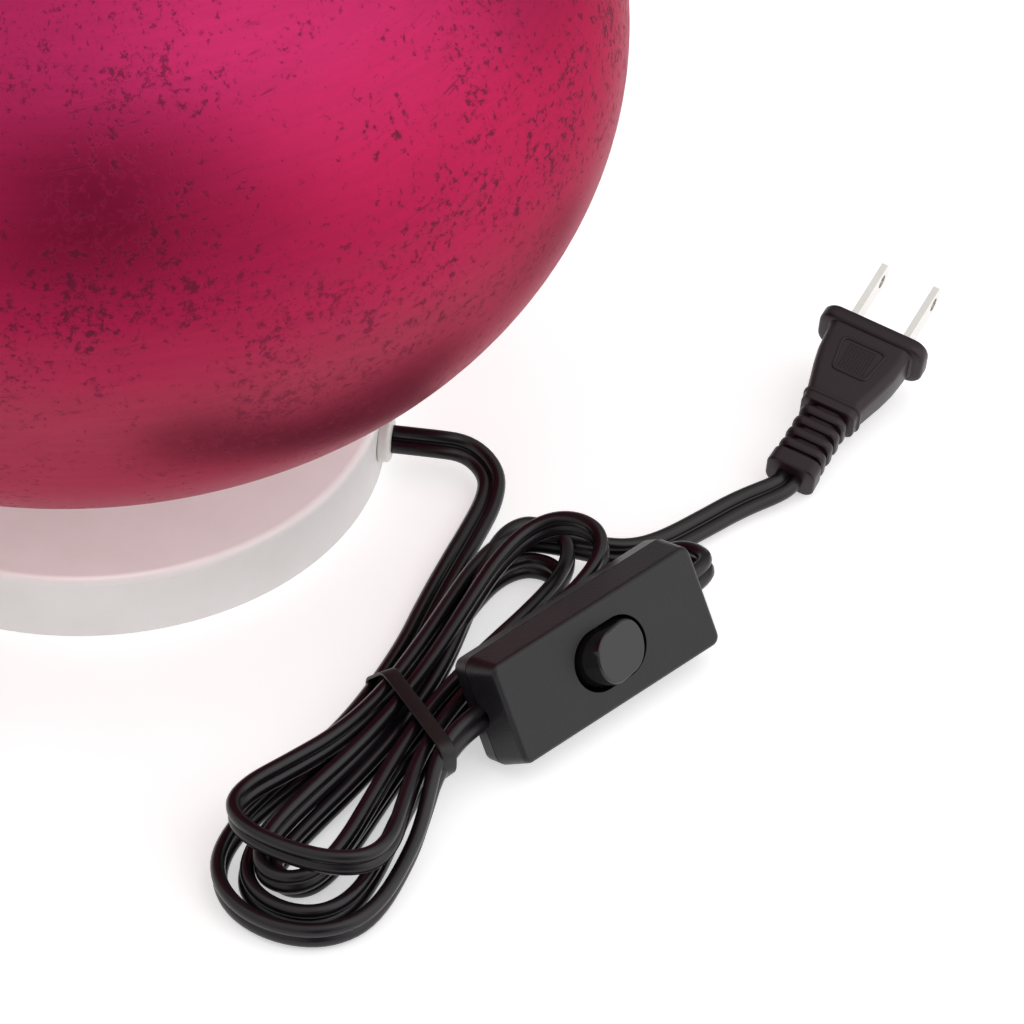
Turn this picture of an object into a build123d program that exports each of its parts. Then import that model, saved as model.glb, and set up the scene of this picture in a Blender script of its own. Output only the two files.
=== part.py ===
from build123d import *
import math
import os

os.makedirs("parts", exist_ok=True)

# An accent lamp: a coloured glass globe on a low round base, with a flat
# mains cord tied in a hank, an inline rocker switch and a two-blade plug.
# Millimetres. The origin is under the middle of the base, +Z is up.

# Base, a spun pan closed by a plate
base_radius = 65.0
base_height = 16.4
base_foot_gap = 0.5
base_wall = 2.0
base_edge_round = 1.8
plate_thickness = 1.5
plate_clearance = 0.3
felt_thickness = 1.5
felt_margin = 2.0
felt_width = 14.0
boss_setback = 7.0
boss_radius = 4.0
boss_count = 3
boss_start_angle = 51.0
base_screw_radius = 1.5
base_screw_length = 9.0
screw_fit = 0.05
screw_head_radius = 2.8
screw_head_height = 1.2
screw_slot_width = 0.7
screw_slot_depth = 0.5
weight_margin = 2.5
weight_width = 14.5
weight_height = 8.0
weight_slot_width = 9.0

# Glass globe and what holds it
globe_radius = 117.4
globe_half_height = 88.3
globe_blend_angle = 53.0
glass_wall = 3.5
neck_radius = 40.0
neck_length = 16.2
neck_round = 4.0
gasket_thickness = 1.0
gasket_margin = 0.4
collar_wall = 1.6
collar_height = 7.5
collar_neck_gap = 1.6
clip_count = 3
clip_width = 9.0
clip_thickness = 0.5
clip_height = 12.0
clip_foot = 0.75
clip_lip = 1.8
clip_neck_gap = 0.3
clip_start_angle = 20.0
rivet_radius = 1.0
rivet_head_radius = 1.8
rivet_head_height = 0.6

# Lampholder on a threaded tube
nipple_radius = 5.0
nipple_bore_radius = 3.9
nipple_drop = 3.0
nut_across_flats = 14.0
nut_height = 2.6
washer_radius = 9.0
washer_thickness = 1.0
holder_radius = 14.0
holder_height = 34.0
holder_seat_depth = 7.0
holder_floor = 4.0
holder_round = 1.5
wire_hole_radius = 2.5
shell_wall = 0.55
shell_fit = 0.05
contact_radius = 3.4
contact_thickness = 1.0
contact_stem_length = 2.5

# Bulb
cap_radius = 5.9
cap_shell_gap = 0.4
cap_length = 18.0
cap_wall = 0.4
bulb_tip_gap = 0.3
bulb_tip_radius = 2.4
bulb_tip_height = 1.0
bulb_insulator_height = 1.8
bulb_glass_radius = 17.5
bulb_glass_length = 72.0
bulb_glass_wall = 0.8
bulb_widest = 0.36
stem_radius = 3.4
stem_length = 15.0
stem_disc_radius = 7.2
stem_disc_thickness = 1.2
filament_count = 4
filament_radius = 0.9
filament_length = 30.0
filament_circle_radius = 5.6

# Cord and the bushing that it leaves by
cord_diameter = 4.2
cord_fit = 0.06
cord_rest_height = 3.3
exit_azimuth = -9.0
nut_cord_gap = 0.7
bushing_barrel_radius = 4.2
bushing_fit = 0.1
bushing_flange_radius = 5.25
bushing_flange_thickness = 2.5
bushing_round = 1.1
bushing_snap_radius = 4.9
bushing_snap_thickness = 2.0
inner_bend_radius = 4.6
arc_share = 0.45
straight_run = 2.0
short_run = 1.5

# Hank: loops drawn in at the waist, in two layers
hank_x = 73.0
hank_y = -99.6
hank_bearing = 60.8
hank_shift = -2.3
hank_waist = 8.8
hank_near_reach = 61.5
hank_far_reach = 71.0
hank_near_flare = 25.0
hank_far_flare = 14.0
hank_gap = 0.6
layer_gap = 0.6
hank_start_turn = -0.1
hank_end_turn = 3.75
reverse_turn = 1.5
climb_turns = 0.26
wrap_start_turn = -0.5
wrap_end_turn = -0.85
arcs_per_turn = 12
gap_samples_per_turn = 96
heading_step = 1e-5

# Tie round the waist of the hank
tie_width = 3.0
tie_thickness = 0.9
tie_slant = 28.0
tie_corner = 2.5
tie_left = -17.0
tie_right = 14.6
tie_left_top = 10.8
tie_right_top = 16.4
tie_floor = 0.05

# Inline switch, as it lies against the hank
switch_x = 108.8
switch_y = -84.5
switch_bearing = 43.2
switch_lean = 28.0
switch_length = 59.0
switch_width = 25.5
switch_depth = 13.6
switch_lower_depth = 5.0
switch_corner = 3.2
switch_draft = 8.0
switch_edge_round = 1.2
switch_wall = 2.0
parting_gap = 0.2
opening_length = 19.8
opening_width = 13.8
opening_offset = 0.7
rocker_side_gap = 0.45
rocker_end_gap = 1.2
rocker_pivot_depth = 3.0
rocker_rise = 5.5
rocker_drop = 4.6
rocker_draft = 6.0
rocker_edge_round = 0.5
rocker_tilt = 15.6
pin_radius = 1.2
pin_fit = 0.05
cheek_thickness = 2.2
cheek_half_length = 3.4
cheek_gap = 0.4
cheek_below_pin = 2.6
bridge_length = 2.6
bridge_width = 9.0
bridge_thickness = 0.6
bridge_arm = 4.6
terminal_length = 7.0
terminal_width = 3.2
terminal_thickness = 0.8
terminal_spacing = 5.6
terminal_gap = 0.3
screw_post_radius = 3.2
screw_post_setback = 7.5
switch_screw_radius = 1.3
switch_screw_head = 2.3
switch_screw_head_height = 1.4
switch_screw_bite = 6.0
cord_hole_fit = 0.2
cord_entry_depth = 2.5

# Plug, lying on the table
plug_x = 173.1
plug_y = 19.6
plug_bearing = 62.2
plug_pitch = 10.0
plug_roll = 9.5
plug_rest = 0.2
flange_width = 25.4
flange_height = 11.4
flange_thickness = 3.6
flange_corner = 4.6
body_width = 19.6
body_height = 9.8
waist_width = 18.6
waist_share = 0.4
shoulder_width = 13.2
shoulder_height = 8.6
body_length = 18.8
shoulder_length = 2.8
body_corner = 2.2
panel_setback = 8.0
panel_length = 7.2
panel_width = 8.0
panel_depth = 0.4
panel_rim = 1.2
boot_core_radius = 3.3
boot_rib_width = 11.0
boot_rib_height = 8.2
boot_rib_corner = 2.4
boot_rib_count = 4
boot_rib_length = 2.2
boot_rib_gap = 1.1
boot_end_width = 11.6
boot_end_height = 8.6
boot_end_length = 4.2
blade_spacing = 12.7
blade_length = 18.0
blade_width = 6.35
blade_thickness = 1.5
blade_chamfer = 1.27
blade_root = 4.0
blade_hole_radius = 1.55
blade_hole_setback = 3.6

# Routes of the free stretches, in the lamp's frame
lead_points = [
    (83.4, -11.4, 7.0),
    (88.6, -17.0, 4.4),
    (88.9, -26.0, 3.3),
    (86.2, -38.0, 3.3),
    (81.8, -50.0, 3.3),
    (76.8, -62.0, 3.3),
    (71.6, -74.0, 3.3),
]
switch_in_points = [
    (72.0, -136.2, 4.9),
    (74.8, -126.4, 7.8),
    (77.1, -116.8, 11.2),
]
switch_out_points = [
    (134.6, -54.0, 12.4),
    (129.4, -49.0, 10.6),
    (122.4, -49.6, 8.0),
    (115.9, -52.6, 5.2),
]
tail_points = [
    (118.6, -40.2, 7.4),
    (125.6, -39.2, 5.8),
    (133.8, -32.9, 4.6),
    (142.2, -26.2, 4.0),
]


def save(name, piece):
    piece = piece if isinstance(piece, Compound) else Compound(children=[piece])
    piece.label = name
    export_step(piece, os.path.join("parts", name + ".step"))


def group(solids):
    return Compound(children=list(solids))


def tube(outer, inner, bottom, top):
    ring = Circle(outer) - Circle(inner)
    return Pos(0, 0, bottom) * extrude(ring, top - bottom)


def disc(radius, bottom, top):
    return Pos(0, 0, bottom) * extrude(Circle(radius), top - bottom)


def around(count, start):
    return [start + 360 * index / count for index in range(count)]


def slotted_screw(head_radius, head_height, shank_radius, length):
    # Head below z = 0, shank upwards from it
    head = disc(head_radius, -head_height, 0)
    slot = Pos(0, 0, -head_height) * Box(
        3 * head_radius, screw_slot_width, 2 * screw_slot_depth
    )
    return head - slot + disc(shank_radius, 0, length)


# Heights that follow from the base
plate_bottom = felt_thickness
plate_top = plate_bottom + plate_thickness
pan_underside = base_height - base_wall
glass_foot = base_height + gasket_thickness
neck_inner_radius = neck_radius - glass_wall
pan_inner_radius = base_radius - base_wall
felt_outer_radius = pan_inner_radius - felt_margin
felt_inner_radius = felt_outer_radius - felt_width
weight_outer_radius = pan_inner_radius - weight_margin
boss_circle_radius = felt_inner_radius - boss_setback
boss_angles = around(boss_count, boss_start_angle)
exit_height = pan_underside - nut_height - nut_cord_gap - cord_diameter / 2
exit_frame = Rot(0, 0, exit_azimuth) * Pos(0, 0, exit_height) * Rot(0, 90, 0)
bushing_face = base_radius + bushing_flange_thickness
bushing_back = pan_inner_radius - plate_clearance
bushing_end = bushing_back - bushing_snap_thickness


def base_shell():
    outline = disc(base_radius, base_foot_gap, base_height)
    outline = fillet(outline.edges().group_by(Axis.Z)[-1], base_edge_round)
    pan = outline - disc(pan_inner_radius, 0, pan_underside)
    pan -= disc(nipple_radius + screw_fit, pan_underside, base_height)
    for angle in boss_angles:
        place = Rot(0, 0, angle) * Pos(boss_circle_radius, 0, 0)
        pan += place * disc(boss_radius, plate_top, pan_underside)
        pan -= place * disc(base_screw_radius + screw_fit, 0, plate_top + base_screw_length)
    pan -= exit_frame * disc(bushing_barrel_radius + bushing_fit, base_radius / 2, 2 * base_radius)
    return pan


def base_plate():
    plate = disc(pan_inner_radius - plate_clearance, plate_bottom, plate_top)
    for angle in boss_angles:
        place = Rot(0, 0, angle) * Pos(boss_circle_radius, 0, 0)
        plate -= place * disc(base_screw_radius + screw_fit, 0, plate_top)
    return plate - exit_frame * disc(bushing_snap_radius + bushing_fit, bushing_end, base_radius)


def base_screws():
    screw = slotted_screw(
        screw_head_radius,
        screw_head_height,
        base_screw_radius,
        base_screw_length + plate_thickness - plate_clearance,
    )
    at = Pos(boss_circle_radius, 0, plate_bottom)
    return group(Rot(0, 0, angle) * at * screw for angle in boss_angles)


def felt_ring():
    return tube(felt_outer_radius, felt_inner_radius, 0, felt_thickness)


def base_weight():
    inner = weight_outer_radius - weight_width
    ring = tube(weight_outer_radius, inner, plate_top, plate_top + weight_height)
    slot_depth = base_height - exit_height + weight_slot_width / 2
    slot = Rot(0, 0, exit_azimuth) * Pos(base_radius, 0, base_height) * Box(
        base_radius, weight_slot_width, 2 * slot_depth
    )
    return ring - slot


def globe_gasket():
    return tube(
        neck_radius + gasket_margin,
        neck_inner_radius - gasket_margin,
        base_height,
        glass_foot,
    )


# The globe's side is an oval of two arcs, a flank and a crown, that meet smoothly
blend = math.radians(globe_blend_angle)
blend_slope = (1 - math.sin(blend)) / math.cos(blend)
flank_radius = (globe_half_height - globe_radius * blend_slope) / (
    math.sin(blend) + (1 - math.sin(blend)) - blend_slope
)
crown_radius = (globe_radius - flank_radius) / math.cos(blend) + flank_radius
crown_drop = crown_radius - globe_half_height
neck_top = glass_foot + neck_length
globe_centre_height = neck_top + math.sqrt(crown_radius**2 - neck_radius**2) - crown_drop


def globe_form(inset, mouth):
    # The oval, drawn in by the inset and turned about the axis, on a straight neck
    opening = math.degrees(math.acos(mouth / (crown_radius - inset)))
    crown = CenterArc(
        (0, globe_centre_height - crown_drop),
        crown_radius - inset,
        globe_blend_angle,
        90 - globe_blend_angle,
    )
    flank = CenterArc(
        (globe_radius - flank_radius, globe_centre_height),
        flank_radius - inset,
        -globe_blend_angle,
        2 * globe_blend_angle,
    )
    bowl = CenterArc(
        (0, globe_centre_height + crown_drop),
        crown_radius - inset,
        -opening,
        opening - globe_blend_angle,
    )
    neck = Line((mouth, glass_foot), bowl @ 0)
    foot = Line((0, glass_foot), (mouth, glass_foot))
    axis = Line(crown @ 1, (0, glass_foot))
    return revolve(Plane.XZ * make_face([foot, neck, bowl, flank, crown, axis]), Axis.Z)


def glass_globe():
    outside = globe_form(0, neck_radius)
    rings = outside.edges().filter_by(GeomType.CIRCLE).group_by(Axis.Z)
    outside = fillet(rings[1], neck_round)
    return outside - globe_form(glass_wall, neck_inner_radius)


collar_outer_radius = neck_inner_radius - collar_neck_gap
collar_top = base_height + collar_height
clip_angles = around(clip_count, clip_start_angle)
rivet_height = base_height + collar_height / 2


def globe_collar():
    ring = tube(collar_outer_radius, collar_outer_radius - collar_wall, base_height, collar_top)
    for angle in clip_angles:
        place = Rot(0, 0, angle) * Pos(0, 0, rivet_height) * Rot(0, 90, 0)
        ring -= place * disc(rivet_radius + screw_fit, 0, neck_radius)
        flat = Pos(collar_outer_radius, 0, rivet_height) * Box(
            2 * clip_thickness, clip_width, collar_height
        )
        ring -= Rot(0, 0, angle) * flat
    return ring


def globe_clips():
    # A leaf that stands on the collar's flat and bows out towards the neck
    seat = collar_outer_radius - clip_thickness
    reach = neck_inner_radius - clip_neck_gap - clip_thickness - (clip_width / 2) ** 2 / neck_radius
    foot = base_height + clip_foot
    crest = base_height + clip_height - clip_lip
    line = Polyline(
        (seat, foot),
        (seat, collar_top),
        (reach - clip_thickness, crest),
        (seat, base_height + clip_height),
        (seat + clip_thickness, base_height + clip_height),
        (reach, crest),
        (seat + clip_thickness, collar_top - clip_thickness / 2),
        (seat + clip_thickness, foot),
        close=True,
    )
    leaf = extrude(Plane.XZ * make_face(line), clip_width / 2, both=True)
    hole = Pos(0, 0, rivet_height) * Rot(0, 90, 0) * disc(rivet_radius + screw_fit, 0, neck_radius)
    return group(Rot(0, 0, angle) * (leaf - hole) for angle in clip_angles)


def clip_rivets():
    inner = collar_outer_radius - collar_wall - rivet_head_height
    outer = collar_outer_radius
    shank = disc(rivet_radius, inner, outer)
    head = disc(rivet_head_radius, outer, outer + rivet_head_height)
    tail = disc(rivet_head_radius, inner - rivet_head_height, inner)
    rivet = Pos(0, 0, rivet_height) * Rot(0, 90, 0) * (shank + head + tail)
    return group(Rot(0, 0, angle) * rivet for angle in clip_angles)


# Heights of the lampholder
holder_bottom = base_height + washer_thickness
nipple_top = holder_bottom + holder_seat_depth
holder_inner_floor = nipple_top + holder_floor
holder_top = holder_bottom + holder_height
shell_inner_radius = cap_radius + cap_shell_gap
shell_outer_radius = shell_inner_radius + shell_wall
contact_top = holder_inner_floor + contact_thickness
nipple_bottom = pan_underside - nipple_drop


def threaded_nipple():
    return tube(nipple_radius, nipple_bore_radius, nipple_bottom, nipple_top)


def nipple_nut():
    hexagon = RegularPolygon(nut_across_flats / 2, 6, major_radius=False)
    nut = Pos(0, 0, pan_underside - nut_height) * extrude(hexagon, nut_height)
    return nut - disc(nipple_radius + screw_fit, 0, base_height)


def nipple_washer():
    return tube(washer_radius, nipple_radius + screw_fit, base_height, holder_bottom)


def socket_body():
    body = disc(holder_radius, holder_bottom, holder_top)
    body = fillet(body.edges().group_by(Axis.Z)[-1], holder_round)
    body -= disc(nipple_radius + screw_fit, holder_bottom, nipple_top)
    body -= disc(wire_hole_radius, nipple_top, holder_inner_floor)
    return body - disc(shell_outer_radius + shell_fit, holder_inner_floor, holder_top)


def socket_screw_shell():
    return tube(shell_outer_radius, shell_inner_radius, holder_inner_floor, holder_top - holder_round)


def socket_contact():
    button = disc(contact_radius, holder_inner_floor, contact_top)
    stem = disc(
        wire_hole_radius - shell_fit,
        holder_inner_floor - contact_stem_length,
        holder_inner_floor,
    )
    return button + stem


# Heights of the bulb
tip_bottom = contact_top + bulb_tip_gap
insulator_bottom = tip_bottom + bulb_tip_height
cap_bottom = insulator_bottom + bulb_insulator_height
cap_top = cap_bottom + cap_length
glass_floor = cap_top + bulb_glass_wall


def bulb_contact():
    return disc(bulb_tip_radius, tip_bottom, insulator_bottom)


def bulb_insulator():
    outline = Polyline(
        (0, insulator_bottom),
        (bulb_tip_radius, insulator_bottom),
        (cap_radius - cap_wall, cap_bottom),
        (0, cap_bottom),
        close=True,
    )
    return revolve(Plane.XZ * make_face(outline), Axis.Z)


def bulb_cap():
    return tube(cap_radius, cap_radius - cap_wall, cap_bottom, cap_top) + disc(
        cap_radius, cap_bottom, cap_bottom + cap_wall
    )


def torpedo(radius, foot_radius, bottom, top):
    widest = bottom + (top - bottom) * bulb_widest
    foot = (foot_radius, bottom)
    side = (radius, widest)
    tip = (0, top)
    swell = TangentArc(side, foot, tangent=(0, -1))
    taper = TangentArc(side, tip, tangent=(0, 1))
    outline = make_face([swell, taper, Line(tip, (0, bottom)), Line((0, bottom), foot)])
    return revolve(Plane.XZ * outline, Axis.Z)


def bulb_glass():
    top = cap_top + bulb_glass_length
    outer = torpedo(bulb_glass_radius, cap_radius, cap_top, top)
    inner = torpedo(
        bulb_glass_radius - bulb_glass_wall,
        cap_radius - bulb_glass_wall,
        glass_floor,
        top - 2 * bulb_glass_wall,
    )
    return outer - inner


def bulb_stem():
    disc_bottom = glass_floor + stem_length
    return disc(stem_radius, glass_floor, disc_bottom) + disc(
        stem_disc_radius, disc_bottom, disc_bottom + stem_disc_thickness
    )


def bulb_filaments():
    foot = glass_floor + stem_length + stem_disc_thickness
    strip = Pos(filament_circle_radius, 0, 0) * disc(filament_radius, foot, foot + filament_length)
    return group(Rot(0, 0, angle) * strip for angle in around(filament_count, 0))




def cord_bushing():
    barrel = disc(bushing_barrel_radius, bushing_end, base_radius)
    flange = disc(bushing_flange_radius, base_radius, bushing_face)
    flange = fillet(flange.edges().group_by(Axis.Z)[-1], bushing_round)
    snap = disc(bushing_snap_radius, bushing_end, bushing_back)
    bore = disc(cord_diameter / 2 + cord_fit, 0, 2 * base_radius)
    return exit_frame * (barrel + flange + snap - bore)


# Cord tubes: straight runs joined by arcs as large as the runs allow
straight_end = straight_run * cord_diameter
short_end = short_run * cord_diameter


def corner_radii(points):
    corners = [Vector(*point) for point in points]
    radii = []
    for before, here, after in zip(corners, corners[1:], corners[2:]):
        turn = math.radians((here - before).get_angle(after - here))
        run = min((here - before).length, (after - here).length)
        radii.append(arc_share * run / math.tan(turn / 2))
    return radii


def cord_solid(name, path):
    start = Plane(origin=path @ 0, z_dir=path % 0)
    solid = sweep(start * Circle(cord_diameter / 2), path=path)
    expected = math.pi * cord_diameter**2 / 4 * path.length
    print(name, "length", round(path.length, 1), "volume share", round(solid.volume / expected, 4))
    return solid


def cord_run(name, points):
    radii = corner_radii(points)
    print(name, "radii", [round(radius, 1) for radius in radii])
    return cord_solid(name, FilletPolyline(*points, radius=radii))


# The hank's own directions: along it, and to its right
along = Vector(math.cos(math.radians(hank_bearing)), math.sin(math.radians(hank_bearing)), 0)
aside = Vector(along.Y, -along.X, 0)
hank_middle = Vector(hank_x, hank_y, 0)
hank_step = cord_diameter + hank_gap
layer_step = cord_diameter + layer_gap


def ease(share):
    share = min(max(share, 0), 1)
    return share * share * (3 - 2 * share)


def hank_point(turn):
    # Turns wind inwards to the reversal, climb a layer there and wind out again
    inwards = hank_step * (reverse_turn - abs(reverse_turn - turn))
    angle = math.radians(90 + 360 * turn)
    cosine = math.cos(angle)
    sine = math.sin(angle)
    reach = hank_far_reach if cosine > 0 else hank_near_reach
    flare = hank_far_flare if cosine > 0 else hank_near_flare
    half = hank_waist + flare * cosine**2
    slope_along = -reach * sine
    slope_aside = half * cosine - 2 * flare * cosine * sine**2
    slope = math.hypot(slope_along, slope_aside)
    onward = reach * cosine - inwards * slope_aside / slope
    sideways = hank_shift + half * sine + inwards * slope_along / slope
    climb = ease((turn - reverse_turn) / climb_turns + 0.5)
    height = cord_rest_height + layer_step * climb
    return hank_middle + along * onward + aside * sideways + Vector(0, 0, height)


def hank_heading(turn, forward):
    before = hank_point(turn - heading_step)
    after = hank_point(turn + heading_step)
    return (after - before).normalized() * forward


def biarc(start, start_way, end, end_way):
    span = end - start
    bend = 2 * (1 - start_way.dot(end_way))
    lean = 2 * span.dot(start_way + end_way)
    square = span.dot(span)
    arm = 2 * square / (lean + math.sqrt(lean * lean + 4 * bend * square))
    first = start + start_way * arm
    last = end - end_way * arm
    middle = (first + last) * 0.5
    return [
        TangentArc(start, middle, tangent=start_way),
        TangentArc(middle, end, tangent=last - first),
    ]


def winding(first_turn, last_turn):
    forward = 1 if last_turn > first_turn else -1
    count = round(abs(last_turn - first_turn) * arcs_per_turn)
    turns = [first_turn + (last_turn - first_turn) * step / count for step in range(count + 1)]
    points = [hank_point(turn) for turn in turns]
    ways = [hank_heading(turn, forward) for turn in turns]
    lead_in = Line(points[0] - ways[0] * cord_diameter, points[0])
    lead_out = Line(points[-1], points[-1] + ways[-1] * cord_diameter)
    edges = [lead_in]
    for step in range(count):
        edges += biarc(points[step], ways[step], points[step + 1], ways[step + 1])
    return Wire(edges + [lead_out])


def least_gap(first_turn, last_turn):
    # Least clear distance between stretches of the winding half a turn apart or more
    count = round((last_turn - first_turn) * gap_samples_per_turn)
    samples = [
        hank_point(first_turn + (last_turn - first_turn) * step / count) for step in range(count + 1)
    ]
    apart = gap_samples_per_turn // 4
    return min(
        (samples[one] - samples[two]).length
        for one in range(count + 1)
        for two in range(one + apart, count + 1)
    ) - cord_diameter


hank_path = winding(hank_start_turn, hank_end_turn)
wrap_path = winding(wrap_start_turn, wrap_end_turn)
print("least gap in the hank", round(least_gap(wrap_end_turn, hank_end_turn), 2))


# Tie
def hank_tie():
    frame = Plane(
        origin=hank_middle,
        x_dir=(aside * math.cos(math.radians(tie_slant)) - along * math.sin(math.radians(tie_slant))),
        z_dir=(aside * math.sin(math.radians(tie_slant)) + along * math.cos(math.radians(tie_slant))),
    )
    stretch = 1 / math.cos(math.radians(tie_slant))
    up = 1 if frame.y_dir.Z > 0 else -1
    low = up * (tie_floor + tie_thickness)
    corners = [
        (tie_left * stretch, low),
        (tie_right * stretch, low),
        (tie_right * stretch, up * tie_right_top),
        (tie_left * stretch, up * tie_left_top),
    ]
    inside = make_face(Polyline(*corners, close=True))
    inside = fillet(inside.vertices(), tie_corner)
    band = offset(inside, tie_thickness) - inside
    return extrude(frame * band, tie_width / 2, both=True)


# Switch frame: x along its length, y up its face, z out of its face
switch_way = Vector(
    math.cos(math.radians(switch_bearing)), math.sin(math.radians(switch_bearing)), 0
)
face_level = Vector(switch_way.Y, -switch_way.X, 0)
face_way = face_level * math.cos(math.radians(switch_lean)) + Vector(
    0, 0, math.sin(math.radians(switch_lean))
)
back_half_width = switch_width / 2 - switch_lower_depth * math.tan(math.radians(switch_draft))
switch_height = (
    switch_depth / 2 * math.sin(math.radians(switch_lean))
    + back_half_width * math.cos(math.radians(switch_lean))
)
switch_plane = Plane(
    origin=(switch_x, switch_y, switch_height), x_dir=switch_way, z_dir=face_way
)
switch_place = Location(switch_plane)
face_top = switch_depth / 2
parting = switch_lower_depth - switch_depth / 2
pivot_height = face_top - rocker_pivot_depth
screw_reach = switch_length / 2 - screw_post_setback
screw_spots = [Pos(side * screw_reach, 0, 0) for side in (-1, 1)]
rocker_length = opening_length - 2 * rocker_end_gap
rocker_width = opening_width - 2 * rocker_side_gap
pin_half_length = rocker_width / 2 + cheek_gap + cheek_thickness
cord_hole = Rot(0, 90, 0) * disc(
    cord_diameter / 2 + cord_hole_fit, -switch_length, switch_length
)
cord_hole = Pos(0, 0, parting) * cord_hole


def switch_outline(inset):
    return RectangleRounded(
        switch_length - 2 * inset, switch_width - 2 * inset, switch_corner - inset
    )


def drafted(inset, depth):
    return extrude(switch_outline(inset), depth, taper=switch_draft)


def switch_top_cover():
    depth = face_top - parting - parting_gap
    cover = drafted(0, depth)
    cover = fillet(cover.faces().sort_by(Axis.Z)[-1].edges(), switch_edge_round)
    cover -= drafted(switch_wall, depth - switch_wall)
    cover = Pos(0, 0, parting + parting_gap) * cover
    roof = face_top - switch_wall / 2
    for side in (-1, 1):
        spread = side * (rocker_width / 2 + cheek_gap + cheek_thickness / 2)
        low = pivot_height - cheek_below_pin
        cheek = Pos(opening_offset, spread, (low + roof) / 2) * Box(
            2 * cheek_half_length, cheek_thickness, roof - low
        )
        cover += cheek
    for spot in screw_spots:
        cover += spot * disc(screw_post_radius, parting + parting_gap, roof)
        cover -= spot * disc(switch_screw_radius + screw_fit, parting, parting + switch_screw_bite)
    opening = Pos(opening_offset, 0, pivot_height) * extrude(
        SlotOverall(opening_length, opening_width), switch_depth
    )
    cover -= Pos(opening_offset, 0, pivot_height) * Rot(90, 0, 0) * extrude(
        Circle(pin_radius + pin_fit), pin_half_length + pin_fit, both=True
    )
    return switch_place * (cover - opening - cord_hole)


def switch_bottom_cover():
    cover = drafted(0, switch_lower_depth)
    cover = fillet(cover.faces().sort_by(Axis.Z)[-1].edges(), switch_edge_round)
    cover -= drafted(switch_wall, switch_lower_depth - switch_wall)
    cover = Pos(0, 0, parting) * Rot(180, 0, 0) * cover
    floor = parting - switch_lower_depth
    for spot in screw_spots:
        cover += spot * disc(screw_post_radius, floor + switch_wall / 2, parting)
        cover -= spot * disc(switch_screw_radius + screw_fit, floor, parting)
        cover -= spot * disc(switch_screw_head + screw_fit, floor, floor + switch_screw_head_height)
    return switch_place * (cover - cord_hole)


def switch_screws():
    seat = parting - switch_lower_depth + switch_screw_head_height
    screw = slotted_screw(
        switch_screw_head,
        switch_screw_head_height,
        switch_screw_radius,
        parting + switch_screw_bite - seat - parting_gap,
    )
    return group(switch_place * spot * Pos(0, 0, seat) * screw for spot in screw_spots)


# At rest the right end is pressed and the left end stands up
rest_tilt = Pos(opening_offset, 0, pivot_height) * Rot(0, rocker_tilt, 0)


def rocker():
    half = rocker_length / 2
    key = extrude(SlotOverall(rocker_length, rocker_width), rocker_rise, taper=rocker_draft)
    key = fillet(key.faces().sort_by(Axis.Z)[-1].edges(), rocker_edge_round)
    outline = Polyline(
        (-half, 0),
        (half, 0),
        (half, -rocker_drop / 2),
        (bridge_arm + bridge_length, -rocker_drop),
        (-bridge_arm - bridge_length, -rocker_drop),
        (-half, -rocker_drop / 2),
        close=True,
    )
    block = extrude(Plane.XZ * make_face(outline), rocker_width / 2, both=True)
    plan = Pos(0, 0, -rocker_drop) * extrude(SlotOverall(rocker_length, rocker_width), rocker_drop)
    bore = Rot(90, 0, 0) * extrude(Circle(pin_radius + pin_fit), rocker_width, both=True)
    return switch_place * rest_tilt * (key + (block & plan) - bore)


def rocker_pin():
    pin = Rot(90, 0, 0) * extrude(Circle(pin_radius), pin_half_length, both=True)
    return switch_place * Pos(opening_offset, 0, pivot_height) * pin


def bridge_contact():
    strip = Pos(-bridge_arm, 0, -rocker_drop - bridge_thickness / 2) * Box(
        bridge_length, bridge_width, bridge_thickness
    )
    return switch_place * rest_tilt * strip


def switch_terminals():
    # Angles that stand on the lower cover, just under the bridge when the switch is on
    radius = math.hypot(bridge_arm + bridge_length / 2, rocker_drop + bridge_thickness)
    slope = math.atan2(rocker_drop + bridge_thickness, bridge_arm + bridge_length / 2)
    reach = radius * math.sin(slope + math.radians(rocker_tilt))
    top = pivot_height - reach - terminal_gap
    floor = parting - switch_lower_depth + switch_wall
    plate = Pos(opening_offset - bridge_arm, 0, top - terminal_thickness / 2) * Box(
        terminal_length, terminal_width, terminal_thickness
    )
    post = Pos(
        opening_offset - bridge_arm - terminal_length / 2 + terminal_thickness / 2,
        0,
        (top + floor) / 2,
    ) * Box(terminal_thickness, terminal_width, top - floor)
    terminal = plate + post
    return group(
        switch_place * Pos(0, side * terminal_spacing / 2, 0) * terminal for side in (-1, 1)
    )


# Plug frame: x along the blades, y across them
plug_frame = (
    Pos(plug_x, plug_y, 0)
    * Rot(0, 0, plug_bearing)
    * Rot(0, -plug_pitch, 0)
    * Rot(plug_roll, 0, 0)
)
shoulder = -flange_thickness - body_length
boot_start = shoulder - shoulder_length
waist_height = body_height + waist_share * (shoulder_height - body_height)
ribs_length = boot_rib_count * (boot_rib_length + boot_rib_gap) + boot_rib_gap
boot_end = boot_start - ribs_length - boot_end_length


def across(width, height, corner, x):
    return Pos(x, 0, 0) * (Plane.YZ * RectangleRounded(width, height, corner))


def lengthwise(radius, start, end):
    return Rot(0, 90, 0) * disc(radius, start, end)


def plug_blade(side):
    middle = (blade_length - blade_root) / 2
    blade = Pos(middle, side * blade_spacing / 2, 0) * Box(
        blade_length + blade_root, blade_thickness, blade_width
    )
    tips = [edge for edge in blade.edges().filter_by(Axis.Y) if edge.center().X > middle]
    blade = chamfer(tips, blade_chamfer)
    hole = Pos(blade_length - blade_hole_setback, 0, 0) * Rot(90, 0, 0) * extrude(
        Circle(blade_hole_radius), flange_width, both=True
    )
    return blade - hole


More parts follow.
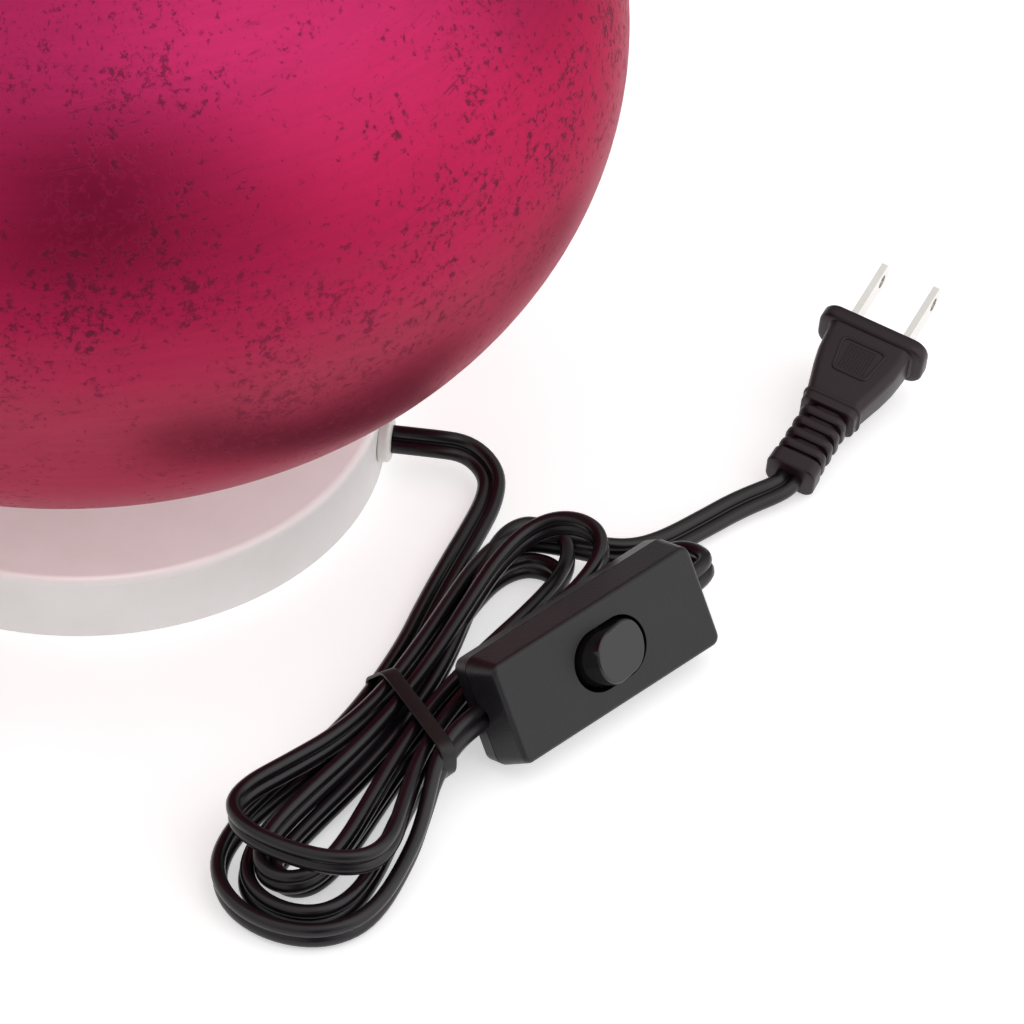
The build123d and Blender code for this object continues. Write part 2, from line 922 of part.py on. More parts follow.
def plug_moulding():
    flange = extrude(across(flange_width, flange_height, flange_corner, 0), -flange_thickness)
    body = loft(
        [
            across(body_width, body_height, body_corner, -flange_thickness),
            across(waist_width, waist_height, body_corner, -flange_thickness - waist_share * body_length),
            across(shoulder_width, shoulder_height, body_corner, shoulder),
        ]
    )
    moulding = flange + body + lengthwise(boot_core_radius, boot_end, boot_start)
    moulding += extrude(
        across(shoulder_width, shoulder_height, body_corner, shoulder), -shoulder_length
    )
    for index in range(boot_rib_count):
        start = boot_start - (index + 1) * (boot_rib_length + boot_rib_gap)
        rib = across(boot_rib_width, boot_rib_height, boot_rib_corner, start)
        moulding += extrude(rib, boot_rib_length)
    block = across(boot_end_width, boot_end_height, boot_rib_corner, boot_end)
    moulding += extrude(block, boot_end_length)
    sink = (body_height - shoulder_height) / 2 / body_length
    level = body_height / 2 - sink * panel_setback
    tilt = Pos(-flange_thickness - panel_setback, 0, level) * Rot(0, -math.degrees(math.atan(sink)), 0)
    moat = Box(panel_length + 2 * panel_rim, panel_width + 2 * panel_rim, 2 * panel_depth)
    moulding -= tilt * (moat - Box(panel_length, panel_width, 2 * panel_depth))
    for side in (-1, 1):
        moulding -= Pos(-blade_root / 2, side * blade_spacing / 2, 0) * Box(
            blade_root, blade_thickness, blade_width
        )
    return moulding


plug_core = plug_frame * plug_moulding()
plug_lift = Pos(0, 0, plug_rest - plug_core.bounding_box().min.Z)
plug_place = plug_lift * plug_frame


def plug_blades():
    return group(plug_place * plug_blade(side) for side in (-1, 1))


def place_point(location, *local):
    return (location * Pos(*local)).position


def inner_cord():
    inlet = place_point(exit_frame, 0, 0, bushing_back)
    middle = Vector(0, 0, exit_height)
    bend_start = middle + (inlet - middle).normalized() * inner_bend_radius
    top = Vector(0, 0, nipple_top - contact_stem_length)
    up = Vector(0, 0, exit_height + inner_bend_radius)
    bend = TangentArc(bend_start, up, tangent=middle - inlet)
    return cord_solid("inner_cord", Wire([Line(inlet, bend_start), bend, Line(up, top)]))


def cord_lead():
    start = place_point(exit_frame, 0, 0, bushing_back)
    outside = place_point(exit_frame, 0, 0, bushing_face + straight_end)
    end = wrap_path @ 0
    before = end - (wrap_path % 0) * straight_end
    return cord_run("cord_lead", [start, outside, *lead_points, before, end])


def cord_switch_in():
    start = wrap_path @ 1
    after = start + (wrap_path % 1) * short_end
    end = place_point(switch_place, cord_entry_depth - switch_length / 2, 0, parting)
    before = end - switch_way * straight_end
    return cord_run("cord_switch_in", [start, after, *switch_in_points, before, end])


def cord_switch_out():
    start = place_point(switch_place, switch_length / 2 - cord_entry_depth, 0, parting)
    after = start + switch_way * straight_end
    end = hank_path @ 0
    before = end - (hank_path % 0) * straight_end
    return cord_run("cord_switch_out", [start, after, *switch_out_points, before, end])


def cord_tail():
    start = hank_path @ 1
    after = start + (hank_path % 1) * cord_diameter
    end = place_point(plug_place, boot_end, 0, 0)
    before = place_point(plug_place, boot_end - straight_end, 0, 0)
    return cord_run("cord_tail", [start, after, *tail_points, before, end])


pieces = {
    "base_shell": base_shell,
    "base_plate": base_plate,
    "base_screws": base_screws,
    "felt_ring": felt_ring,
    "base_weight": base_weight,
    "globe_gasket": globe_gasket,
    "glass_globe": glass_globe,
    "globe_collar": globe_collar,
    "globe_clips": globe_clips,
    "clip_rivets": clip_rivets,
    "threaded_nipple": threaded_nipple,
    "nipple_nut": nipple_nut,
    "nipple_washer": nipple_washer,
    "socket_body": socket_body,
    "socket_screw_shell": socket_screw_shell,
    "socket_contact": socket_contact,
    "bulb_contact": bulb_contact,
    "bulb_insulator": bulb_insulator,
    "bulb_cap": bulb_cap,
    "bulb_glass": bulb_glass,
    "bulb_stem": bulb_stem,
    "bulb_filaments": bulb_filaments,
    "cord_bushing": cord_bushing,
    "inner_cord": inner_cord,
    "cord_lead": cord_lead,
    "cord_switch_in": cord_switch_in,
    "cord_switch_out": cord_switch_out,
    "cord_tail": cord_tail,
    "hank_tie": hank_tie,
    "switch_top_cover": switch_top_cover,
    "switch_bottom_cover": switch_bottom_cover,
    "switch_screws": switch_screws,
    "rocker": rocker,
    "rocker_pin": rocker_pin,
    "bridge_contact": bridge_contact,
    "switch_terminals": switch_terminals,
    "plug_blades": plug_blades,
}

for name, make in pieces.items():
    save(name, make())
save("plug_body", plug_lift * plug_core)
save("cord_wrap", cord_solid("cord_wrap", wrap_path))
save("cord_hank", cord_solid("cord_hank", hank_path))
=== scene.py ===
import math

import bmesh
import bpy
from mathutils import Matrix, Vector


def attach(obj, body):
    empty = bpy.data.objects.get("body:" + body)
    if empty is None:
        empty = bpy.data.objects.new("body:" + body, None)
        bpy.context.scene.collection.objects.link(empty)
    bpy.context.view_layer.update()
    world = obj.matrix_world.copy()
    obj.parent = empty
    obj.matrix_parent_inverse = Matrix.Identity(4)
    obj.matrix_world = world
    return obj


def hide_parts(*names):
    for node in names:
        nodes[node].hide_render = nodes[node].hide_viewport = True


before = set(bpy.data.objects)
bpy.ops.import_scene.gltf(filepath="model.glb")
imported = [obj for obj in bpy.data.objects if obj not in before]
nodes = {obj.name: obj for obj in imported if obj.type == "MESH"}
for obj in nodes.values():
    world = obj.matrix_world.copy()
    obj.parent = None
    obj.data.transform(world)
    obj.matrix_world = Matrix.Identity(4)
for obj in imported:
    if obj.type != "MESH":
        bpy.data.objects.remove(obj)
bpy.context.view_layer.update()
scene = bpy.context.scene
mm = 0.001
print("frame loaded,", len(nodes), "nodes")


# Node helpers

def addNode(tree, kind, settings=None, **inputs):
    node = tree.nodes.new(kind)
    for key, value in (settings or {}).items():
        setattr(node, key, value)
    for key, value in inputs.items():
        setInput(tree, node, key, value)
    return node


def setInput(tree, node, key, value):
    # i0, i1 and so on are a socket's place; any other key is its name without spaces
    names = {socket.name.replace(" ", ""): socket for socket in reversed(node.inputs)}
    socket = node.inputs[int(key[1:])] if key[0] == "i" and key[1:].isdigit() else names[key]
    if isinstance(value, bpy.types.NodeSocket):
        tree.links.new(value, socket)
    else:
        socket.default_value = value


def mathNode(tree, operation, *values):
    node = addNode(tree, "ShaderNodeMath", {"operation": operation})
    for index, value in enumerate(values):
        setInput(tree, node, f"i{index}", value)
    return node.outputs[0]


def mapRange(tree, value, low, high, toLow=0.0, toHigh=1.0):
    node = addNode(tree, "ShaderNodeMapRange", i0=value, i1=low, i2=high, i3=toLow, i4=toHigh)
    return node.outputs[0]


def mixColour(tree, share, first, second):
    ends = [(*end, 1) if isinstance(end, tuple) else end for end in (first, second)]
    node = addNode(tree, "ShaderNodeMix", {"data_type": "RGBA"}, i0=share, i6=ends[0], i7=ends[1])
    return node.outputs[2]


def noise(tree, place, scale, detail, roughness=0.62):
    node = addNode(tree, "ShaderNodeTexNoise", Vector=place, Scale=scale, Detail=detail, Roughness=roughness)
    return node.outputs[0]


def objectPlace(tree):
    return tree.nodes.new("ShaderNodeTexCoord").outputs["Object"]


def splitAxes(tree, place):
    return addNode(tree, "ShaderNodeSeparateXYZ", Vector=place).outputs


def flatRadius(tree, east, north):
    squares = [mathNode(tree, "POWER", axis, 2.0) for axis in (east, north)]
    return mathNode(tree, "SQRT", mathNode(tree, "ADD", *squares))


def newGroup(name, kind, inputs, outputs):
    group = bpy.data.node_groups.new(name, kind)
    for side, sockets in (("INPUT", inputs), ("OUTPUT", outputs)):
        for label, socketKind, value in sockets:
            socket = group.interface.new_socket(label, in_out=side, socket_type=socketKind)
            if value is not None:
                socket.default_value = value
    start = group.nodes.new("NodeGroupInput")
    end = group.nodes.new("NodeGroupOutput")
    return group, start, end


def linkOutputs(group, end, **sockets):
    for label, socket in sockets.items():
        group.links.new(socket, end.inputs[label])


# Shared effects

floatSocket = "NodeSocketFloat"
noiseSpan = (0.3, 0.7)  # where most of a noise's values lie


def swingAbout(tree, grain, middle, spread):
    swing = mathNode(tree, "MULTIPLY", mathNode(tree, "SUBTRACT", grain, 0.5), spread)
    return mathNode(tree, "ADD", swing, middle)


def makeMouldedGrain():
    group, start, end = newGroup(
        "mouldedGrain",
        "ShaderNodeTree",
        [
            ("Grain Scale", floatSocket, 900.0),
            ("Roughness", floatSocket, 0.45),
            ("Roughness Spread", floatSocket, 0.1),
        ],
        [(label, floatSocket, None) for label in ("Roughness", "Height", "Patch")],
    )
    place = objectPlace(group)
    grain = noise(group, place, start.outputs["Grain Scale"], detail=3.0, roughness=0.6)
    patch = noise(group, place, scale=55.0, detail=4.0, roughness=0.55)
    rough = swingAbout(group, patch, start.outputs["Roughness"], start.outputs["Roughness Spread"])
    linkOutputs(group, end, Roughness=rough, Height=grain, Patch=patch)
    return group


def makeTurnedStreaks():
    # Fine rings round the lamp's axis, as a lathe or a spinning pad leaves them
    group, start, end = newGroup(
        "turnedStreaks",
        "ShaderNodeTree",
        [
            ("Streak Scale", floatSocket, 700.0),
            ("Roughness", floatSocket, 0.4),
            ("Roughness Spread", floatSocket, 0.15),
        ],
        [(label, floatSocket, None) for label in ("Roughness", "Height", "Cloud")],
    )
    place = objectPlace(group)
    east, north, up = splitAxes(group, place)
    drawnOut = 0.03  # how little the pattern changes round the axis
    wrapped = addNode(
        group,
        "ShaderNodeCombineXYZ",
        X=mathNode(group, "MULTIPLY", east, drawnOut),
        Y=mathNode(group, "MULTIPLY", north, drawnOut),
        Z=mathNode(group, "ADD", up, flatRadius(group, east, north)),
    ).outputs[0]
    streak = noise(group, wrapped, start.outputs["Streak Scale"], detail=4.0, roughness=0.6)
    cloud = noise(group, place, scale=38.0, detail=5.0, roughness=0.6)
    rough = swingAbout(group, streak, start.outputs["Roughness"], start.outputs["Roughness Spread"])
    linkOutputs(group, end, Roughness=rough, Height=streak, Cloud=cloud)
    return group


mouldedGrain = makeMouldedGrain()
turnedStreaks = makeTurnedStreaks()


# Materials

def newMaterial(name):
    material = bpy.data.materials.new(name)
    material.use_nodes = True
    tree = material.node_tree
    shader = tree.nodes["Principled BSDF"]
    return material, tree, shader


def setShader(shader, values):
    for label, value in values.items():
        shader.inputs[label].default_value = value


def placeGroup(tree, group, **inputs):
    return addNode(tree, "ShaderNodeGroup", {"node_tree": group}, **inputs)


def bumpFrom(tree, shader, height, strength, distance):
    bump = addNode(tree, "ShaderNodeBump", Strength=strength, Distance=distance, Height=height)
    tree.links.new(bump.outputs[0], shader.inputs["Normal"])


def toneFrom(tree, shader, mask, dark, light):
    tone = mapRange(tree, mask, *noiseSpan)
    tree.links.new(mixColour(tree, tone, dark, light), shader.inputs["Base Color"])


def makePlastic(name, dark, light, rough, spread, grain, bump, specular=0.5):
    material, tree, shader = newMaterial(name)
    skin = placeGroup(tree, mouldedGrain, GrainScale=grain, Roughness=rough, RoughnessSpread=spread)
    toneFrom(tree, shader, skin.outputs["Patch"], dark, light)
    tree.links.new(skin.outputs["Roughness"], shader.inputs["Roughness"])
    setShader(shader, {"Specular IOR Level": specular})
    bumpFrom(tree, shader, skin.outputs["Height"], bump, 0.2 * mm)
    return material


def makeMetal(name, dark, light, rough, spread, scale, bump, metallic=1.0):
    material, tree, shader = newMaterial(name)
    skin = placeGroup(tree, turnedStreaks, StreakScale=scale, Roughness=rough, RoughnessSpread=spread)
    toneFrom(tree, shader, skin.outputs["Cloud"], dark, light)
    tree.links.new(skin.outputs["Roughness"], shader.inputs["Roughness"])
    setShader(shader, {"Metallic": metallic})
    bumpFrom(tree, shader, skin.outputs["Height"], bump, 0.1 * mm)
    return material


# Bands are in radians up the globe's side; wraps are how far a pattern runs round it and up it
silvering = {
    # shoulder and low are painted tones: pinker at the shoulder as a painted highlight, greyer and darker low
    # down as painted shade
    "shoulder": (0.43, 0.016, 0.098),
    "middle": (0.42, 0.010, 0.066),
    "low": (0.33, 0.032, 0.068),
    "flake": (0.10, 0.010, 0.034),
    "lowBand": (-0.12, 0.16),
    "shoulderBand": (0.25, 0.58),
    "unevenness": 0.07,
    "centreHeight": 116.3 * mm,
    "poleRadius": 4.0 * mm,
    "skinWrap": (0.085, 0.095),
    "cloudWrap": (0.016, 0.110),
    "cloudScale": 60.0,
    "hazeScale": 20.0,
    "clusterScale": 36.0,
    "clusterShare": 0.42,
    "flakeScale": 640.0,
    "flakeRange": (0.77, 0.85),
    "speckScale": 1500.0,
    "speckRange": (0.84, 0.92),
    "speckDepth": 0.7,
    "scratchSlope": 0.16,
    "scratchWrap": (0.010, 0.110),
    "scratchDrift": 0.004,
    "scratchScale": 620.0,
    "scratchRange": (0.655, 0.72),
    "scratchDepth": 0.7,
    "hairWrap": (0.012, 0.110),
    "hairScale": 620.0,
    "hairDepth": 0.14,
    "wornShare": (0.45, 0.85),
    "keptBand": (-0.30, 0.05),
    "keptShare": 0.5,
    "roughness": 0.30,
    "cloudRough": 0.12,
    "wornRough": 0.12,
    "cloudHeight": 0.5,
    "wornHeight": 0.4,
}


def makeSilvering():
    # Crimson silvering that has flaked with age, banded by height with painted highlight and painted shade:
    # coordinates run round the globe and up its side
    material, tree, shader = newMaterial("crimsonSilvering")
    east, north, up = splitAxes(tree, objectPlace(tree))
    radius = mathNode(tree, "MAXIMUM", flatRadius(tree, east, north), silvering["poleRadius"])
    rise = mathNode(tree, "SUBTRACT", up, silvering["centreHeight"])
    climb = mathNode(tree, "ARCTAN2", rise, radius)

    def times(value, factor):
        return mathNode(tree, "MULTIPLY", value, factor)

    def wrapped(girth, height):
        side, deep = [times(mathNode(tree, "DIVIDE", axis, radius), girth) for axis in (east, north)]
        return addNode(tree, "ShaderNodeCombineXYZ", X=side, Y=deep, Z=times(climb, height)).outputs[0]

    skin = wrapped(*silvering["skinWrap"])
    cluster = noise(tree, skin, silvering["clusterScale"], detail=4.0)
    patchy = times(cluster, silvering["clusterShare"])
    ragged = noise(tree, skin, silvering["flakeScale"], detail=7.0, roughness=0.70)
    flakes = mapRange(tree, mathNode(tree, "ADD", ragged, patchy), *silvering["flakeRange"])
    dusty = noise(tree, skin, silvering["speckScale"], detail=3.0)
    specks = mapRange(tree, mathNode(tree, "ADD", dusty, patchy), *silvering["speckRange"])
    # Scratches climb gently as they go round
    turnAngle = mathNode(tree, "ARCTAN2", north, east)
    tilted = mathNode(tree, "SUBTRACT", climb, times(turnAngle, silvering["scratchSlope"]))
    scratchPlace = addNode(
        tree,
        "ShaderNodeCombineXYZ",
        X=times(turnAngle, silvering["scratchWrap"][0]),
        Y=times(tilted, silvering["scratchWrap"][1]),
        Z=times(cluster, silvering["scratchDrift"]),
    ).outputs[0]
    lines = noise(tree, scratchPlace, silvering["scratchScale"], detail=3.0)
    scratches = mapRange(tree, lines, *silvering["scratchRange"], 0.0, silvering["scratchDepth"])
    worn = mathNode(tree, "MAXIMUM", flakes, times(specks, silvering["speckDepth"]))
    worn = mathNode(tree, "MAXIMUM", worn, scratches)
    cloud = noise(tree, wrapped(*silvering["cloudWrap"]), silvering["cloudScale"], detail=4.0, roughness=0.55)
    # Painted light by height: greyer and darker low down as painted shade and a dull painted reflection,
    # crimson in the middle, pinker towards the shoulder as a painted highlight
    uneven = mapRange(tree, cloud, *noiseSpan, -silvering["unevenness"], silvering["unevenness"])
    level = mathNode(tree, "ADD", climb, uneven)
    lowShadeShare = mapRange(tree, level, *silvering["lowBand"])
    colour = mixColour(tree, lowShadeShare, silvering["low"], silvering["middle"])
    highlightShare = mapRange(tree, level, *silvering["shoulderBand"])
    colour = mixColour(tree, highlightShare, colour, silvering["shoulder"])
    hairs = noise(tree, wrapped(*silvering["hairWrap"]), silvering["hairScale"], detail=2.0)
    thin = mapRange(tree, hairs, *noiseSpan, 0.0, silvering["hairDepth"])
    colour = mixColour(tree, thin, colour, silvering["flake"])
    haze = noise(tree, skin, silvering["hazeScale"], detail=3.0, roughness=0.5)
    share = times(worn, mapRange(tree, haze, *noiseSpan, *silvering["wornShare"]))
    # The underside has kept more of its silvering
    share = times(share, mapRange(tree, climb, *silvering["keptBand"], silvering["keptShare"], 1.0))
    colour = mixColour(tree, share, colour, silvering["flake"])
    tree.links.new(colour, shader.inputs["Base Color"])
    rough = mathNode(tree, "ADD", times(cloud, silvering["cloudRough"]), silvering["roughness"])
    rough = mathNode(tree, "ADD", rough, times(worn, silvering["wornRough"]))
    tree.links.new(rough, shader.inputs["Roughness"])
    setShader(shader, {"Metallic": 0.9, "Specular Tint": (0.80, 0.42, 0.48, 1)})
    setShader(shader, {"Coat Weight": 0.1, "Coat Roughness": 0.45})
    raised, pitted = times(cloud, silvering["cloudHeight"]), times(worn, silvering["wornHeight"])
    height = mathNode(tree, "SUBTRACT", raised, pitted)
    bumpFrom(tree, shader, height, strength=0.25, distance=0.25 * mm)
    return material


cordVinyl = {
    "dark": (0.0040, 0.0025, 0.0040),
    "light": (0.0085, 0.0058, 0.0082),
    "dragStretch": (9.0, 40.0, 1.0),
    "dragScale": 4.0,
    "dragRough": 0.08,
    "dragHeight": 0.7,
}


def makeCord():
    # Smooth vinyl with the faint lengthwise drag marks of its die
    material, tree, shader = newMaterial("cordVinyl")
    skin = placeGroup(tree, mouldedGrain, GrainScale=1400.0, Roughness=0.26, RoughnessSpread=0.12)
    toneFrom(tree, shader, skin.outputs["Patch"], cordVinyl["dark"], cordVinyl["light"])
    lay = addNode(tree, "ShaderNodeUVMap", {"uv_map": "alongCord"}).outputs[0]
    stretch = addNode(tree, "ShaderNodeMapping", Vector=lay, Scale=cordVinyl["dragStretch"]).outputs[0]
    drag = noise(tree, stretch, cordVinyl["dragScale"], detail=3.0, roughness=0.6)
    dragRough = mathNode(tree, "MULTIPLY", drag, cordVinyl["dragRough"])
    rough = mathNode(tree, "ADD", skin.outputs["Roughness"], dragRough)
    tree.links.new(rough, shader.inputs["Roughness"])
    setShader(shader, {"Specular IOR Level": 0.4})
    dragHeight = mathNode(tree, "MULTIPLY", drag, cordVinyl["dragHeight"])
    height = mathNode(tree, "ADD", dragHeight, skin.outputs["Height"])
    bumpFrom(tree, shader, height, strength=0.06, distance=0.2 * mm)
    return material


def makeGlass():
    material, tree, shader = newMaterial("bulbGlass")
    skin = placeGroup(tree, mouldedGrain, GrainScale=60.0, Roughness=0.04, RoughnessSpread=0.03)
    tree.links.new(skin.outputs["Roughness"], shader.inputs["Roughness"])
    setShader(shader, {"Base Color": (0.97, 0.97, 0.95, 1), "Transmission Weight": 1.0, "IOR": 1.5})
    bumpFrom(tree, shader, skin.outputs["Patch"], strength=0.05, distance=0.1 * mm)
    return material


def makeFelt():
    dark, light = (0.018, 0.018, 0.019), (0.045, 0.045, 0.047)
    material = makePlastic("pressedFelt", dark, light, 0.95, 0.05, 2600.0, 0.9, 0.15)
    shader = material.node_tree.nodes["Principled BSDF"]
    setShader(shader, {"Sheen Weight": 0.35, "Sheen Roughness": 0.6})
    return material


def makeNylon():
    material = makePlastic("milkyNylon", (0.74, 0.73, 0.70), (0.84, 0.83, 0.81), 0.36, 0.1, 500.0, 0.05)
    shader = material.node_tree.nodes["Principled BSDF"]
    scatter = {"Subsurface Weight": 0.4, "Subsurface Radius": (1.0, 0.9, 0.8), "Subsurface Scale": 2 * mm}
    setShader(shader, scatter)
    return material


black = (0.0058, 0.0046, 0.0062)
blackLight = (0.0100, 0.0084, 0.0110)
# Dark and light tone, roughness, its spread, grain or streak scale, bump, then specular or metallic
finishes = {
    "silvering": makeSilvering(),
    "baseMetal": makeMetal("satinBase", (0.70, 0.69, 0.68), (0.77, 0.76, 0.755), 0.52, 0.1, 420.0, 0.04, 0.1),
    "steel": makeMetal("zincSteel", (0.50, 0.50, 0.50), (0.62, 0.62, 0.63), 0.34, 0.2, 900.0, 0.06),
    "iron": makeMetal("castIron", (0.05, 0.05, 0.052), (0.09, 0.09, 0.092), 0.7, 0.2, 300.0, 0.4, 0.6),
    "brass": makeMetal("drawnBrass", (0.55, 0.38, 0.14), (0.68, 0.49, 0.20), 0.28, 0.15, 800.0, 0.05),
    "nickel": makeMetal("nickelPlate", (0.68, 0.66, 0.63), (0.80, 0.78, 0.75), 0.22, 0.14, 1200.0, 0.05),
    "felt": makeFelt(),
    "gasket": makePlastic("softGasket", (0.66, 0.66, 0.63), (0.78, 0.78, 0.75), 0.55, 0.1, 800.0, 0.1),
    "holder": makePlastic(
        "holderResin", (0.014, 0.013, 0.012), (0.026, 0.024, 0.022), 0.32, 0.12, 700.0, 0.08
    ),
    "bulb": makeGlass(),
    "strip": makePlastic("phosphorCoat", (0.78, 0.52, 0.10), (0.90, 0.66, 0.18), 0.75, 0.1, 2200.0, 0.3),
    "nylon": makeNylon(),
    "cord": makeCord(),
    "tie": makePlastic(
        "tieVinyl", (0.007, 0.006, 0.007), (0.013, 0.012, 0.013), 0.5, 0.12, 1500.0, 0.12, 0.4
    ),
    "switch": makePlastic("switchShell", black, blackLight, 0.40, 0.08, 1900.0, 0.32, 0.42),
    "rocker": makePlastic(
        "rockerGloss", (0.005, 0.0045, 0.005), (0.008, 0.007, 0.008), 0.10, 0.04, 300.0, 0.015
    ),
    # The plug's black is tinted wine red, a painted reflection of the crimson globe
    "plug": makePlastic(
        "plugVinylPaintedReflection", (0.011, 0.0036, 0.0068), (0.017, 0.0062, 0.011), 0.38, 0.12, 1300.0, 0.12, 0.34
    ),
}

nodeFinishes = {
    "baseMetal": ["base_shell"],
    "steel": ["base_plate", "base_screws", "globe_collar", "globe_clips", "clip_rivets", "threaded_nipple"]
    + ["nipple_nut", "nipple_washer", "switch_screws", "rocker_pin"],
    "felt": ["felt_ring"],
    "iron": ["base_weight"],
    "gasket": ["globe_gasket"],
    "holder": ["socket_body", "bulb_insulator"],
    "brass": ["socket_screw_shell", "socket_contact", "bulb_contact", "bulb_cap"]
    + ["bridge_contact", "switch_terminals"],
    "bulb": ["bulb_glass", "bulb_stem"],
    "strip": ["bulb_filaments"],
    "nylon": ["cord_bushing"],
    "plug": ["inner_cord"],
    "switch": ["switch_top_cover", "switch_bottom_cover"],
    "rocker": ["rocker"],
    "nickel": ["plug_blades"],
}
for finishName, nodeNames in nodeFinishes.items():
    for nodeName in nodeNames:
        nodes[nodeName].data.materials.clear()
        nodes[nodeName].data.materials.append(finishes[finishName])
print("materials made,", len(finishes), "finishes on", sum(map(len, nodeFinishes.values())), "nodes")


# Mesh helpers

def newPiece(name, vertices, faces, material):
    mesh = bpy.data.meshes.new(name)
    mesh.from_pydata([tuple(vertex) for vertex in vertices], [], faces)
    mesh.validate()
    mesh.update()
    for polygon in mesh.polygons:
        polygon.use_smooth = True
    mesh.materials.append(material)
    piece = bpy.data.objects.new(name, mesh)
    scene.collection.objects.link(piece)
    return piece


def ringFaces(rings, around, closed=False):
    faces = []
    for ring in range(rings if closed else rings - 1):
        here = ring * around
        there = (ring + 1) % rings * around
        for step in range(around):
            after = (step + 1) % around
            faces.append((here + step, here + after, there + after, there + step))
    return faces


def fixNormals(piece):
    work = bmesh.new()
    work.from_mesh(piece.data)
    bmesh.ops.recalc_face_normals(work, faces=work.faces)
    work.to_mesh(piece.data)
    work.free()


def sharpen(piece, edgeAngle):
    piece.data.set_sharp_from_angle(angle=math.radians(edgeAngle))


# Cords: a flat twin lead, two round lobes with a web between them

cordShape = {
    "width": 6.3 * mm,
    "lobeRadius": 1.58 * mm,
    "webHalf": 0.66 * mm,
    "lobeSteps": 11,
    "curveSteps": 6,
}
bushing = {"azimuth": -9.0, "height": 9.0 * mm, "back": 62.7 * mm, "face": 67.5 * mm, "clear": 75.9 * mm}
hank = {
    "middle": (73.0 * mm, -99.6 * mm, 0.0),
    "bearing": 60.8,
    "shift": -2.3 * mm,
    "waist": 8.8 * mm,
    "nearReach": 61.5 * mm,
    "farReach": 71.0 * mm,
    "nearFlare": 25.0 * mm,
    "farFlare": 14.0 * mm,
    "step": 4.3 * mm,
    "layerStep": 6.7 * mm,
    "restHeight": 3.3 * mm,
    "tieLift": 0.9 * mm,
    "tuck": 5.0 * mm,
    "tuckTurns": 2.5,
    "reverseTurn": 1.5,
    "climbTurns": 0.26,
    "startTurn": -0.1,
    "endTurn": 3.75,
    "wrapStart": -0.5,
    "wrapEnd": -0.85,
    "pointsPerTurn": 24,
}
# How much further each half turn reaches and flares than the even form, from the wrap onwards
loopFan = {
    -2: (0.3 * mm, 1.0 * mm),
    -1: (0.0, 0.0),
    0: (-0.4 * mm, -1.0 * mm),
    1: (-8.0 * mm, 1.0 * mm),
    2: (-4.5 * mm, -5.0 * mm),
    3: (1.2 * mm, 5.0 * mm),
    4: (-3.1 * mm, -4.5 * mm),
    5: (-8.4 * mm, 1.5 * mm),
    6: (-10.5 * mm, 3.0 * mm),
    7: (-10.0 * mm, -2.0 * mm),
}
# Lift of a half turn's end over its rest height, and its shift sideways
loopLift = {3: -3.4 * mm, 4: -3.0 * mm, 5: 8.0 * mm, 6: 3.0 * mm, 7: -2.6 * mm}
loopShift = {-2: 3.0 * mm, 0: 3.0 * mm, 3: -4.5 * mm, 5: 8.0 * mm}
# Routes given in millimetres
leadPoints = [
    (83.4, -11.4, 7.0),
    (88.5, -16.6, 4.4),
    (87.9, -24.4, 3.3),
    (83.9, -35.6, 3.3),
    (79.2, -47.2, 3.3),
    (74.7, -59.6, 3.3),
    (70.5, -72.6, 3.3),
]
switchInPoints = [
    (72.0, -136.2, 4.9),
    (74.8, -126.4, 7.8),
    (77.1, -116.8, 11.2),
    (81.9, -107.6, 13.0),
    (88.0, -101.8, 13.0),
]
switchOutPoints = [
    (127.4, -64.9, 13.0),
    (133.5, -59.1, 13.0),
    (134.6, -54.0, 12.4),
    (129.4, -49.0, 10.6),
    (122.4, -49.6, 8.0),
    (115.9, -52.6, 5.2),
]
tailPoints = [
    (112.6, -43.6, 5.6),
    (118.8, -43.2, 4.8),
    (125.4, -39.8, 4.2),
    (133.8, -32.9, 3.8),
    (142.2, -26.0, 3.8),
]

bearing = math.radians(hank["bearing"])
along = Vector((math.cos(bearing), math.sin(bearing), 0))
aside = Vector((along.y, -along.x, 0))


def ease(share):
    share = min(max(share, 0), 1)
    return share * share * (3 - 2 * share)


def hankPoint(turn):
    inwards = hank["step"] * (hank["reverseTurn"] - abs(hank["reverseTurn"] - turn))
    angle = math.radians(90 + 360 * turn)
    cosine, sine = math.cos(angle), math.sin(angle)
    far = cosine > 0
    halfTurn = math.floor(2 * turn + 1e-9)
    moreReach, moreFlare = loopFan[halfTurn]
    reach = hank["farReach"] if far else hank["nearReach"]
    flare = hank["farFlare"] if far else hank["nearFlare"]
    half = hank["waist"] + flare * cosine**2
    slopeAlong = -reach * sine
    slopeAside = half * cosine - 2 * flare * cosine * sine**2
    slope = math.hypot(slopeAlong, slopeAside)
    onward = reach * cosine - inwards * slopeAside / slope
    sideways = hank["shift"] + half * sine + inwards * slopeAlong / slope
    onward += moreReach * cosine**2 * (1 if far else -1)
    sideways += moreFlare * cosine**2 * sine * 2 + loopShift.get(halfTurn, 0.0) * cosine**2
    # The later turns' left legs lie closer in under the tie
    sideways += hank["tuck"] * min(max(turn / hank["tuckTurns"], 0), 1) * max(-sine, 0) ** 2
    climb = ease((turn - hank["reverseTurn"]) / hank["climbTurns"] + 0.5)
    height = hank["restHeight"] + hank["tieLift"] * sine**4 + hank["layerStep"] * climb
    height += loopLift.get(halfTurn, 0.0) * cosine**2
    return Vector(hank["middle"]) + along * onward + aside * sideways + Vector((0, 0, height))


def hankTurns(first, last):
    count = round(abs(last - first) * hank["pointsPerTurn"])
    return [first + (last - first) * step / count for step in range(count + 1)]


def metres(points):
    return [Vector(point) * mm for point in points]


def exitPoint(radius):
    turn = math.radians(bushing["azimuth"])
    return Vector((radius * math.cos(turn), radius * math.sin(turn), bushing["height"]))


